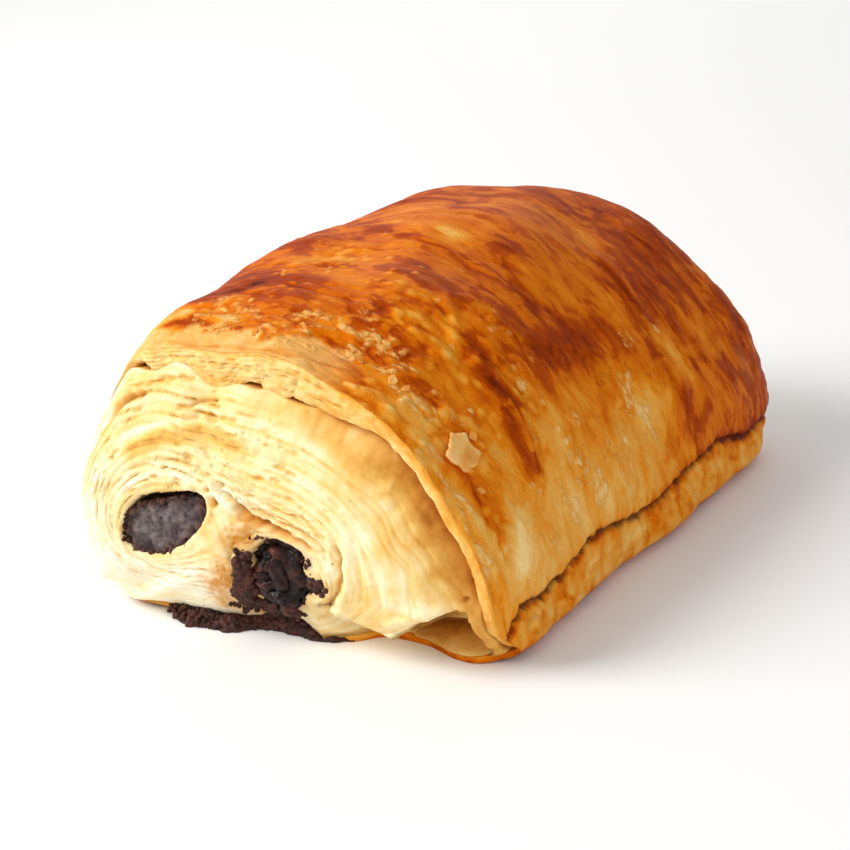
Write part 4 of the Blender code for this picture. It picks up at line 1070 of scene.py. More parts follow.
    # painted shade: a deep brown in the slits, pores and pits, and in bands inside the air pocket, darkest where it
    # reaches deepest
    cave = np.interp(level, [0.0, 0.10, 0.20, 0.30, 0.40, 0.48, 0.56, 0.64, 0.72, 0.82, 0.92, 1.0],
                     [0.1, 0.2, 0.6, 1.0, 0.9, 0.35, 0.70, 0.35, 0.75, 0.40, 0.80, 0.3])
    deep = np.clip(0.28 * hollow_shade**1.5 + pocket * cave * 0.40 * (1 + 0.3 * noise(x / 1.5, level * 9, 4.0)), 0, 1)
    if near:
        # brown shadow line under the hood of the left bar, and the dirtied lower edge
        deep = np.maximum(deep, 0.7 * np.exp(-(((gap_l + 0.1) / 0.35) ** 2)) * ease(18, 20.5, z))
        deep = np.maximum(deep, 0.8 * ease(1.9, 0.9, z) * ease(-6, -3, x) * ease(16, 6, x))

    # side wall and back, so the piece is a closed plug inside the wrap
    def border(v):
        return np.concatenate([v[0, :-1], v[:-1, -1], v[-1, :0:-1], v[:0:-1, 0]])
    ids = border(np.arange(mx * mz).reshape(mz, mx))
    count = mx * mz
    rim_p = P.reshape(-1, 3)[ids]
    centre = np.array([CENTRE[0], 0, CENTRE[1]])
    walls = []
    back = -sign * 10.0
    for s in (0.15, 0.5, 1.0):
        q = rim_p.copy()
        q[:, 1] = mix(rim_p[:, 1], sign * 48.0 + back, s)
        tuck = 0.006 + (0.05 * ease(-5, -20, rim_p[:, :1]) if near else 0.0)
        q[:, [0, 2]] = centre[[0, 2]] + (rim_p[:, [0, 2]] - centre[[0, 2]]) * (1 - tuck * s)
        walls.append(q)
    pts = np.concatenate([P.reshape(-1, 3)] + walls + [np.array([[CENTRE[0], sign * 48.0 + back, CENTRE[1]]])])
    m = len(ids)
    quads = [grid_quads(mz, mx)]
    prev = ids
    for k in range(3):
        cur = count + k * m + np.arange(m)
        quads.append(np.stack([prev, np.roll(prev, -1), np.roll(cur, -1), cur], -1)[:, ::-1])
        prev = cur
    last = len(pts) - 1
    tris = np.stack([prev, np.roll(prev, -1), np.full(m, last)], -1)[:, ::-1]
    quads = np.concatenate(quads)
    if not near:
        quads, tris = quads[:, ::-1], tris[:, ::-1]
    ob = make_mesh("layered_end" if near else "far_end", pts, quads, tris)
    tail = 3 * m + 1

    def full(v, fill):
        return np.concatenate([v.ravel(), np.full(tail, fill)])
    lines = np.stack([w * 60, th * 14, 0 * w], -1).reshape(-1, 3)
    lines = np.concatenate([lines, np.zeros((tail, 3))])
    give(ob, tone=full(np.clip(tone, 0, 1.2), 0.8), deep=full(deep, 0.5), choc=full(choc, 0), stain=full(np.clip(stain, 0, 1), 0),
         flow=lines, smooth_part=full(smooth, 0))
    return ob, P, P0[..., 1]


# ------------------------------------------------------------------ chocolate
def superellipse(bar, count=90):
    cx, cz, hx, hz, tilt = bar
    u = np.linspace(0, 2 * np.pi, count, endpoint=False)
    c, s = np.cos(u), np.sin(u)
    px, pz = hx * np.sign(c) * np.abs(c) ** (2 / 2.3), hz * np.sign(s) * np.abs(s) ** (2 / 2.3)
    ct, st = math.cos(math.radians(tilt)), math.sin(math.radians(tilt))
    return np.stack([cx + px * ct - pz * st, cz + px * st + pz * ct], -1)


# how the melted lump swells, (x, z, radii, how far)
BLOBS = [(2.0, 12.8, 2.0, 2.8, 1.5), (5.7, 14.6, 1.3, 2.6, 1.2), (2.3, 8.1, 2.8, 1.9, 1.5), (-2.6, 10.4, 1.6, 1.8, 0.9),
         (8.0, 10.6, 1.2, 0.9, 0.7), (-0.8, 14.6, 1.4, 1.2, 0.6), (5.5, 10.0, 1.1, 1.4, 0.7), (-0.2, 10.8, 0.9, 1.6, 0.7)]


def build_bar(name, near_face, far_bar, y0, bulge, y_far, melted, seed):
    """A chocolate bar that runs the roll's length: rings, with a broken face at either end."""
    (nx, nz), near_r = near_face
    far_r = polar(superellipse(far_bar), far_bar[:2], 0)
    around, cap = 180, 44
    u = np.linspace(0, 2 * np.pi, around, endpoint=False)
    back = y_far
    ys = np.concatenate([y0 + np.linspace(0, 1, 26) ** 1.5 * 7.0, np.linspace(y0 + 8.5, back - 3.5, 30),
                         back - 2.5 * (1 - np.linspace(0, 1, 12))])
    rows = []

    def ring(y, scale):
        t = ease(0, 13, y - y0)
        r = mix(reach_of(near_r, u), reach_of(far_r, u), t) * scale
        cx, cz = mix(nx, far_bar[0], t), mix(nz, far_bar[1], t)
        return np.stack([cx + r * np.cos(u), np.full(around, y), cz + r * np.sin(u)], -1)
    for j in range(cap):
        t = (j + 0.6) / cap
        p = ring(y0, t * 0.985)
        p[:, 1] = y0 - (1 - t**3.0) * bulge
        if melted:
            for bx, bz, rx, rz, out in BLOBS:
                p[:, 1] -= out * (1 - t**5) * spot(p[:, 0], p[:, 2], bx, bz, rx, rz)
        rows.append(p)
    for y in ys:
        rows.append(ring(y, 1 - 0.04 * math.exp(-(y - y0) / 0.8)))
    for j in range(14, 0, -1):
        rows.append(ring(back, (j - 0.4) / 14 * 0.97))
    R = np.array(rows)
    n = grid_normals(R, wrap=True)
    n = n * np.sign((n * (R - np.array([nx, 0, nz]))).sum(-1, keepdims=True) + 1e-9)
    n[:cap - 2] = mix(n[:cap - 2], np.array([0, -1.0, 0]), 0.6)
    n /= np.linalg.norm(n, axis=-1, keepdims=True)
    x, y, z = R[..., 0], R[..., 1], R[..., 2]
    at_end = np.maximum(ease(y0 + 6, y0 + 1, y), ease(back - 3, back, y))
    edge = np.zeros(R.shape[:2])
    edge[:cap + 10] = np.exp(-(((np.arange(cap + 10) - cap) / (0.16 * cap)) ** 2))[:, None]
    lump = noise(x / 2.6, y / 2.6, z / 2.6, seed=seed)
    grit = fbm(x / 0.9, y / 0.9, z / 0.9, octaves=3, seed=seed + 1)
    chip = noise(x / 1.5, y / 1.5, z / 1.5, seed=seed + 2)
    if melted:
        deep_fold = np.clip(1 - np.abs(noise(x / 2.2, y / 2.2, z / 2.2, seed=seed + 5)) * 5, 0, 1)
        d = at_end * (0.60 * lump + 0.45 * chip + grit * (0.22 + 0.6 * edge) - 0.45 * deep_fold)
    else:
        d = at_end * (0.24 * lump + 0.22 * chip * (1 + edge) + grit * (0.34 + 0.6 * edge))
    R = R + n * d[..., None]
    count = len(R)
    quads = grid_quads(count, around, wrap=True)[:, ::-1]
    first = np.array([R[0].mean(0)])
    last = np.array([R[-1].mean(0)])
    pts = np.concatenate([R.reshape(-1, 3), first, last])
    k = np.arange(around)
    tri_a = np.stack([k, np.roll(k, -1), np.full(around, count * around)], -1)
    base = (count - 1) * around
    tri_b = np.stack([base + np.roll(k, -1), base + k, np.full(around, count * around + 1)], -1)
    ob = make_mesh(name, pts, quads, np.concatenate([tri_a, tri_b])[:, ::-1])
    # the cut face's middle: on the rough bar it mixes in a painted greyish sheen, on the melted one it only smooths the
    # face
    face = np.zeros(R.shape[:2])
    face[:cap] = (1 - ease(0.45, 0.95, (np.arange(cap) + 0.6) / cap))[:, None]
    worn = face * (0.75 + 0.5 * noise(x / 2.2, y / 2.2, z / 2.2, seed=seed + 6))
    give(ob, worn=np.concatenate([np.clip(worn, 0, 1).ravel(), [1, 0]]),
         raised=np.concatenate([np.clip(0.5 + d, 0, 1).ravel(), [0.5, 0.5]]))
    return ob


def icosphere():
    import bmesh
    bm = bmesh.new()
    bmesh.ops.create_icosphere(bm, subdivisions=2, radius=1.0)
    bm.verts.ensure_lookup_table()
    v = np.array([list(q.co) for q in bm.verts])
    f = np.array([[q.index for q in face.verts] for face in bm.faces])
    bm.free()
    return v, f


def lumps(name, centres, sizes, seed, rough=0.35, squash=None):
    """Many small broken lumps in one mesh."""
    v, f = icosphere()
    g = np.random.default_rng(seed)
    pts, tris = [], []
    for k, (c, s) in enumerate(zip(centres, sizes)):
        q = g.normal(size=(3, 3))
        q, _ = np.linalg.qr(q)
        w = v * (1 + rough * noise(v[:, 0] * 1.6 + 9 * k, v[:, 1] * 1.6, v[:, 2] * 1.6, seed=3))[:, None]
        stretch = g.uniform(0.65, 1.25, 3) if squash is None else squash * g.uniform(0.8, 1.2, 3)
        w = (w * stretch) @ q * s + c
        w[:, 2] = np.maximum(w[:, 2], 0.03)
        tris.append(f + len(pts) * len(v))
        pts.append(w)
    return make_mesh(name, np.concatenate(pts), np.zeros((0, 4)), np.concatenate(tris))


# the run-out chocolate along the near end's foot: x, how far forward (y), how high (z)
SEEP = np.array([(-22.4, -47.6, 0.6), (-21.2, -48.4, 1.5), (-20.2, -49.0, 1.9), (-18.2, -49.9, 2.5), (-16.0, -50.7, 1.9), (-13.5, -50.3, 2.4),
                 (-11.0, -50.3, 1.3), (-9.0, -50.1, 1.6), (-7.2, -49.0, 1.3), (-5.4, -47.6, 1.9), (-3.4, -46.9, 2.9),
                 (-1.0, -47.1, 3.8), (1.5, -47.3, 3.5), (3.8, -47.5, 2.1), (6.0, -47.5, 1.4), (8.0, -47.2, 1.0), (10.4, -46.8, 0.6)])


def build_seep():
    """Rough chocolate that has run out along the base at the near end."""
    around, runs = 96, 210
    u = np.linspace(0, 2 * np.pi, around, endpoint=False)
    s = np.linspace(0, 1, runs)
    x = mix(SEEP[0, 0], SEEP[-1, 0], s)
    front, high = np.interp(x, SEEP[:, 0], SEEP[:, 1]), np.interp(x, SEEP[:, 0], SEEP[:, 2])
    ends = np.clip((1 - np.abs(2 * s - 1) ** 8), 0, 1) ** 0.5
    front = front + 0.35 * noise(x / 1.7, 3.0, seed=6) - 0.2
    high = high * (1 + 0.55 * noise(x / 1.5, 7.0, seed=6))
    back = front + 4.6
    cy, ry = 0.5 * (front + back), 0.5 * (back - front) * (0.3 + 0.7 * ends)
    c, sn = np.cos(u), np.sin(u)
    yy = cy[:, None] + ry[:, None] * np.sign(c) * np.abs(c) ** 0.8
    zz = 0.12 + np.where(sn > 0, (high * (0.15 + 0.85 * ends))[:, None] * np.abs(sn) ** 0.8, 0 * sn)
    zz = zz * (1 - 0.35 * ease(0.2, 1.0, -c))
    P = np.stack([x[:, None] + 0 * u, yy, zz], -1)
    n = np.stack([0 * yy, np.cos(u) + 0 * yy, np.maximum(np.sin(u), 0) + 0 * yy], -1)
    px, py, pz = P[..., 0], P[..., 1], P[..., 2]
    d = (0.42 * noise(px / 1.5, py / 1.5, pz / 1.5, seed=71) + 0.30 * noise(px / 0.8, py / 0.8, pz / 0.8, seed=72)
         + 0.16 * noise(px / 0.4, py / 0.4, pz / 0.4, seed=73))
    P = P + n * (d * (0.3 + 0.7 * ends)[:, None])[..., None]
    P[..., 2] = np.maximum(P[..., 2], 0.05)
    quads = grid_quads(runs, around, wrap=True)
    a, b = P[0].mean(0)[None], P[-1].mean(0)[None]
    k = np.arange(around)
    tri = np.concatenate([np.stack([np.roll(k, -1), k, np.full(around, runs * around)], -1),
                          np.stack([(runs - 1) * around + k, (runs - 1) * around + np.roll(k, -1),
                                    np.full(around, runs * around + 1)], -1)])
    ob = make_mesh("chocolate_seep_rough", np.concatenate([P.reshape(-1, 3), a, b]), quads, tri)
    give(ob, worn=np.concatenate([noise(px / 2, py / 2, pz / 2, seed=75).ravel(), [0, 0]]),
         raised=np.concatenate([np.clip(0.5 + d, 0, 1).ravel(), [0.5, 0.5]]))
    return ob


# ------------------------------------------------------------------ flakes on the crust
class Skin:
    """Looks up the finished crust by arc and y."""

    def __init__(self, P, arc):
        self.P, self.arc, self.y = P, arc, P[..., 1]
        n = -grid_normals(P, wrap=True)
        for _ in range(3):
            n = (np.roll(n, 1, 1) + n + np.roll(n, -1, 1)) / 3
        self.n = n / np.linalg.norm(n, axis=-1, keepdims=True)

    def at(self, a, y):
        j = np.array([np.argmin(np.abs(self.y[:, self.y.shape[1] // 2] - v)) for v in np.ravel(y)])
        points, normals = [], []
        for jj, aa, yy in zip(j, np.ravel(a), np.ravel(y)):
            lo, hi = max(jj - 14, 0), min(jj + 15, len(self.y))
            d = (self.arc[lo:hi] - aa) ** 2 + (self.y[lo:hi] - yy) ** 2
            d = d + 1e3 * (self.P[lo:hi, :, 2] < 0.4)
            r, c = np.unravel_index(np.argmin(d), d.shape)
            p = self.P[lo + r, c]
            n = self.n[lo + r, c]
            points.append(p)
            normals.append(n)
        return np.array(points), np.array(normals)


# the largest lifted flake, an angular scale with a fold across it
BIG_FLAKE = polar([(-3.0, 0.3), (-1.6, 3.1), (0.3, 2.3), (1.7, 3.0), (2.7, 0.6), (2.5, -1.3), (2.6, -2.4), (1.4, -3.0),
                   (-0.1, -3.8), (-1.4, -3.8), (-1.7, -2.2), (-2.3, -1.2)], (0, 0), 0)


def build_flakes(skin):
    """Thin pale flakes of pastry that have lifted off the crust, each a small closed sheet."""
    g = np.random.default_rng(8)
    todo = [(32.2, -39.4, 1.0, 1.0, 0.5), (31.4, -35.4, 1.1, 0.7, 0.15)]
    groups = [((20.0, -37.4), (3.0, 1.6), 2, (0.7, 1.1)), ((10.0, -38.4), (4.0, 1.4), 1, (0.6, 1.0)),
              ((37.5, -40.5), (3.0, 2.0), 1, (0.5, 0.9)), ((-6.0, -41.2), (7.0, 1.3), 1, (0.5, 0.9)),
              ((-46.0, -14.0), (6.0, 12.0), 2, (0.6, 1.2)), ((-44.0, 16.0), (6.0, 10.0), 1, (0.6, 1.2))]
    for (a0, y0), (sa, sy), count, (lo, hi) in groups:
        for _ in range(count):
            todo.append((a0 + g.normal() * sa * 0.5, y0 + g.normal() * sy * 0.5, g.uniform(lo, hi) * 1.1,
                         g.uniform(lo, hi) * 0.8, g.uniform(0.02, 0.16)))
    pts, quads, tris, pale, start = [], [], [], [], 0
    rings, around = 6, 40
    u = np.linspace(0, 2 * np.pi, around, endpoint=False)
    for k, (a0, y0, ra, ry, lift) in enumerate(todo):
        turn = g.uniform(0, np.pi) if k > 1 else (0.0, 2.2)[k]
        corners = g.integers(5, 9)
        ca = (np.arange(corners) + g.uniform(-0.3, 0.3, corners)) / corners * 2 * np.pi
        cr = g.uniform(0.65, 1.2, corners)
        shape = reach_of(polar(np.stack([cr * np.cos(ca), cr * np.sin(ca)], -1), (0, 0), 0), u)
        if k == 0:
            shape = reach_of(BIG_FLAKE, u) * (1 + 0.10 * noise(np.cos(u) * 4, np.sin(u) * 4, 3.0))
        tilt = g.uniform(0, 2 * np.pi)
        flat = []
        for s in np.linspace(0.0, 1.0, rings + 1)[1:]:
            flat.append(np.stack([s * ra * shape * np.cos(u), s * ry * shape * np.sin(u)], -1))
        flat = np.concatenate([np.zeros((1, 2))] + flat)
        c, s_ = math.cos(turn), math.sin(turn)
        flat = flat @ np.array([[c, s_], [-s_, c]])
        p, n = skin.at(a0 + flat[:, 0], y0 + flat[:, 1])
        mid_n = n.mean(0)
        mid_n /= np.linalg.norm(mid_n)
        # the two directions of the skin: round the roll, and along it
        grow = np.linalg.lstsq(np.column_stack([flat, np.ones(len(flat))]), p, rcond=None)[0]
        t2 = grow[1] - mid_n * (grow[1] @ mid_n)
        t2 = t2 / np.linalg.norm(t2) if np.linalg.norm(t2) > 0.2 else np.array([0, 1.0, 0]) - mid_n * mid_n[1]
        t2 = t2 / np.linalg.norm(t2)
        t1 = np.cross(t2, mid_n)
        if t1 @ grow[0] < 0:
            t1 = -t1
        size = math.hypot(ra, ry)
        raise_ = lift * (0.5 + 0.5 * (flat[:, 0] * math.cos(tilt) + flat[:, 1] * math.sin(tilt)) / size)
        raise_ = raise_ + 0.10 * size * 0.4 * ((flat**2).sum(1) / size**2) + 0.06 * noise(flat[:, 0] * 1.3 + k, flat[:, 1] * 1.3)
        # a flake keeps its own stiff shape rather than every bump below it
        centre = p.mean(0)
        height = ((p - centre) @ mid_n)
        fit = np.linalg.lstsq(np.column_stack([flat, (flat**2).sum(1), np.ones(len(flat))]), height, rcond=None)[0]
        smooth_h = np.column_stack([flat, (flat**2).sum(1), np.ones(len(flat))]) @ fit
        base = centre + flat[:, :1] * t1 + flat[:, 1:] * t2 + smooth_h[:, None] * mid_n
        thick = 0.04 + 0.02 * size
        if k == 0:
            size = 3.4
            fold = 0.5 * flat[:, 0] + 0.86 * flat[:, 1]
            raise_ = 0.30 + 0.16 * np.clip(-fold, 0, 9) + 0.30 * ease(0.6, -0.4, flat[:, 0] + 0.5 * flat[:, 1])
            raise_ = raise_ + 0.22 * noise(flat[:, 0] / 1.6, flat[:, 1] / 1.6, 2.0) + 0.12 * noise(flat[:, 0] / 0.6, flat[:, 1] / 0.6, 2.0)
            thick = 0.16
        topside = base + mid_n * (raise_ + thick + 0.10)[:, None]
        below = base + mid_n * (raise_ - 0.10)[:, None]
        count = len(flat)
        pts += [topside, below]
        ring = lambda r, off: start + off + 1 + (r - 1) * around + np.arange(around)
        for r in range(1, rings):
            a, b = ring(r, 0), ring(r + 1, 0)
            quads.append(np.stack([a, b, np.roll(b, -1), np.roll(a, -1)], -1))
            a, b = ring(r, count), ring(r + 1, count)
            quads.append(np.stack([a, np.roll(a, -1), np.roll(b, -1), b], -1))
        a, b = ring(rings, 0), ring(rings, count)
        quads.append(np.stack([a, b, np.roll(b, -1), np.roll(a, -1)], -1))
        a = ring(1, 0)
        tris.append(np.stack([np.full(around, start), a, np.roll(a, -1)], -1))
        a = ring(1, count)
        tris.append(np.stack([np.full(around, start + count), np.roll(a, -1), a], -1))
        tone = np.full(count, g.uniform(0.4, 0.9))
        # the big flake is painted paler on one side and darker on the other, as painted light and shade
        if k == 0:
            tone = 0.30 + 0.30 * ease(-0.5, 0.6, flat[:, 0] + 0.3 * flat[:, 1]) - 0.2 * ease(1.2, 2.4, flat[:, 1])
        pale.append(np.tile(tone, 2))
        start += 2 * count
    ob = make_mesh("flakes", np.concatenate(pts), np.concatenate(quads), np.concatenate(tris))
    give(ob, pale=np.concatenate(pale))
    return ob


# ------------------------------------------------------------------ materials
def srgb(r, g, b):
    out = []
    for v in (r, g, b):
        v = v / 255.0
        out.append(v / 12.92 if v <= 0.04045 else ((v + 0.055) / 1.055) ** 2.4)
    return (*out, 1.0)


class Look:
    """A Principled material with a few helpers for its nodes."""

    def __init__(self, name):
        self.m = bpy.data.materials.new(name)
        self.m.use_nodes = True
        self.t = self.m.node_tree
        self.bsdf = self.t.nodes["Principled BSDF"]

    def set(self, **values):
        for key, v in values.items():
            self.bsdf.inputs[key.replace("_", " ")].default_value = v

    def attr(self, name, vector=False):
        n = self.t.nodes.new("ShaderNodeAttribute")
        n.attribute_name = name
        return n.outputs["Vector" if vector else "Fac"]

    def scaled(self, vector, scale, move=(0, 0, 0)):
        n = self.t.nodes.new("ShaderNodeMapping")
        self.t.links.new(vector, n.inputs["Vector"])
        n.inputs["Scale"].default_value = scale
        n.inputs["Location"].default_value = move
        return n.outputs["Vector"]

    def noise(self, vector, scale=1.0, detail=3.0, rough=0.55, warp=0.0):
        n = self.t.nodes.new("ShaderNodeTexNoise")
        self.t.links.new(vector, n.inputs["Vector"])
        n.inputs["Scale"].default_value = scale
        n.inputs["Detail"].default_value = detail
        n.inputs["Roughness"].default_value = rough
        n.inputs["Distortion"].default_value = warp
        return n.outputs["Fac"]

    def voronoi(self, vector, scale=1.0, feature="F1"):
        n = self.t.nodes.new("ShaderNodeTexVoronoi")
        n.feature = feature
        self.t.links.new(vector, n.inputs["Vector"])
        n.inputs["Scale"].default_value = scale
        return n.outputs["Distance"]

    def math(self, op, a, b=None, c=None, clamp=False):
        n = self.t.nodes.new("ShaderNodeMath")
        n.operation = op
        n.use_clamp = clamp
        for k, v in enumerate((a, b, c)):
            if v is None:
                continue
            if isinstance(v, (int, float)):
                n.inputs[k].default_value = v
            else:
                self.t.links.new(v, n.inputs[k])
        return n.outputs[0]

    def add(self, base, *terms):
        """base + sum of factor * (socket - 0.5)"""
        out = base
        for socket, factor in terms:
            part = self.math("MULTIPLY_ADD", socket, factor, -0.5 * factor)
            out = self.math("ADD", out, part)
        return out

    def ramp(self, fac, stops, kind="LINEAR"):
        n = self.t.nodes.new("ShaderNodeValToRGB")
        self.t.links.new(fac, n.inputs["Fac"])
        r = n.color_ramp
        r.interpolation = kind
        while len(r.elements) > 1:
            r.elements.remove(r.elements[-1])
        r.elements[0].position, r.elements[0].color = stops[0]
        for pos, col in stops[1:]:
            r.elements.new(pos).color = col
        return n.outputs["Color"]

    def mixed(self, fac, a, b):
        n = self.t.nodes.new("ShaderNodeMix")
        n.data_type = "RGBA"
        n.clamp_factor = True
        self.t.links.new(fac, n.inputs[0])
        for k, v in ((6, a), (7, b)):
            if isinstance(v, tuple):
                n.inputs[k].default_value = v
            else:
                self.t.links.new(v, n.inputs[k])
        return n.outputs[2]

    def span(self, value, lo, hi, to_lo=0.0, to_hi=1.0):
        n = self.t.nodes.new("ShaderNodeMapRange")
        self.t.links.new(value, n.inputs["Value"])
        n.inputs["From Min"].default_value, n.inputs["From Max"].default_value = lo, hi
        n.inputs["To Min"].default_value, n.inputs["To Max"].default_value = to_lo, to_hi
        return n.outputs["Result"]

    def finish(self, colour, rough, height=None, strength=0.4, distance=0.0002):
        self.t.links.new(colour, self.bsdf.inputs["Base Color"])
        self.t.links.new(rough, self.bsdf.inputs["Roughness"])
        if height is not None:
            n = self.t.nodes.new("ShaderNodeBump")
            n.inputs["Strength"].default_value = strength
            n.inputs["Distance"].default_value = distance
            self.t.links.new(height, n.inputs["Height"])
            self.t.links.new(n.outputs["Normal"], self.bsdf.inputs["Normal"])
        return self.m

    def place(self):
        n = self.t.nodes.new("ShaderNodeTexCoord")
        return n.outputs["Object"]


BAKE_STOPS = [(0.00, srgb(248, 212, 142)), (0.14, srgb(242, 190, 104)), (0.28, srgb(236, 166, 66)),
              (0.42, srgb(232, 140, 28)), (0.56, srgb(218, 112, 8)), (0.68, srgb(196, 86, 4)),
              (0.80, srgb(164, 60, 4)), (0.92, srgb(128, 42, 6)), (1.00, srgb(92, 30, 8))]


def crust_look():
    k = Look("baked_crust")
    k.set(Specular_IOR_Level=0.025, Specular_Tint=(1.0, 0.62, 0.34, 1.0))
    flow = k.attr("flow", vector=True)
    streak = k.noise(k.scaled(flow, (0.10, 0.70, 0.3)), 1.0, 4, 0.6, 1.0)
    broad = k.noise(k.scaled(flow, (0.06, 0.17, 0.2), (3, 7, 0)), 1.0, 4, 0.55, 1.8)
    fine = k.noise(k.scaled(flow, (0.7, 2.4, 0.3)), 1.0, 3, 0.6, 0.8)
    mottle = k.noise(k.scaled(flow, (0.5, 0.6, 0.3), (9, 4, 0)), 1.0, 4, 0.6)
    grain = k.noise(k.scaled(flow, (3.2, 3.6, 1)), 1.0, 2, 0.6)
    torn_a = k.noise(k.scaled(flow, (0.30, 0.55, 0.3), (5, 2, 0)), 1.0, 6, 0.64, 0.8)
    torn_b = k.noise(k.scaled(flow, (0.17, 0.36, 0.3), (1, 8, 0)), 1.0, 6, 0.62, 1.0)
    # the glaze dried in overlapping coats with crisp borders
    baked = k.attr("bake")
    coat_a = k.span(k.add(baked, (torn_a, 0.50)), 0.495, 0.520)
    coat_b = k.span(k.add(baked, (torn_b, 0.50)), 0.630, 0.655)
    coat_c = k.span(torn_b, 0.49, 0.515)
    bake = k.add(baked, (streak, 0.11), (broad, 0.38), (fine, 0.06), (mottle, 0.12), (grain, 0.05),
                 (coat_a, 0.07), (coat_b, 0.09), (coat_c, 0.06))
    brown = k.ramp(bake, BAKE_STOPS)
    # pale blistered scales, in clusters where the top skin has lifted
    scale_noise = k.noise(k.scaled(flow, (0.22, 0.40, 0.3), (2, 5, 0)), 1.0, 5, 0.60, 0.8)
    cell_a = k.voronoi(k.scaled(flow, (0.62, 0.92, 0.3), (4, 4, 0)))
    cell_b = k.voronoi(k.scaled(flow, (1.5, 1.9, 0.3), (1, 3, 0)))
    lumpy = k.add(k.math("MULTIPLY_ADD", cell_b, 0.30, k.math("MULTIPLY", cell_a, 0.75)), (torn_a, 0.5), (grain, 0.12))
    cluster = k.span(k.add(scale_noise, (k.attr("peel"), 0.45)), 0.480, 0.550)
    scales = k.math("MULTIPLY", cluster, k.span(lumpy, 0.66, 0.46, 0.0, 0.9))
    scales = k.math("MULTIPLY", scales, k.span(k.attr("peel"), 0.08, 0.2))
    bare = k.math("MAXIMUM", k.attr("bare"), scales)
    bare_tone = k.add(k.math("MULTIPLY_ADD", baked, 0.62, 0.06), (mottle, 0.34), (fine, 0.20), (grain, 0.16), (torn_a, 0.40))
    pale = k.ramp(bare_tone, [(0.0, srgb(250, 226, 172)), (0.22, srgb(244, 202, 132)), (0.42, srgb(238, 176, 94)), (0.7, srgb(220, 134, 46))])
    edge = k.attr("edge")
    bare = k.math("MULTIPLY", bare, k.math("SUBTRACT", 1.0, edge))
    colour = k.mixed(bare, brown, pale)
    # painted sheen: greyish-pink patches mixed into the colour where the glaze would catch the light
    sheen = k.math("MULTIPLY", k.attr("sheen"), k.span(streak, 0.38, 0.62, 0.15, 1.0))
    colour = k.mixed(k.math("MULTIPLY", sheen, 0.8), colour, srgb(188, 116, 72))
    # the dark mix: the burnt seam, the scar, dark specks and pits, and painted shadow and shade along the overlaps, the
    # grooves and the slits of the cut edge
    dark = k.add(k.attr("dark"), (grain, 0.10))
    colour = k.mixed(k.math("MULTIPLY", dark, 0.92, clamp=True), colour, srgb(64, 26, 22))
    rough = k.add(k.math("MULTIPLY_ADD", bare, 0.26, 0.40), (fine, 0.16), (mottle, 0.12))
    rough = k.math("ADD", rough, k.math("MULTIPLY", edge, 0.25), clamp=True)
    height = k.add(k.math("MULTIPLY", fine, 0.4), (streak, 0.4), (grain, 0.35), (mottle, 0.5), (coat_a, 0.10),
                   (k.math("MULTIPLY", cluster, k.span(lumpy, 0.80, 0.25)), 1.3), (scale_noise, 0.3))
    return k.finish(colour, rough, height, 0.55, 0.0005)


DOUGH_STOPS = [(0.00, srgb(252, 243, 218)), (0.25, srgb(250, 231, 182)), (0.45, srgb(246, 212, 142)),
               (0.65, srgb(238, 188, 100)), (0.85, srgb(214, 150, 62)), (1.00, srgb(180, 110, 38)), (1.2, srgb(140, 74, 18))]
DOUGH_STOPS = [(p / 1.2, c) for p, c in DOUGH_STOPS]


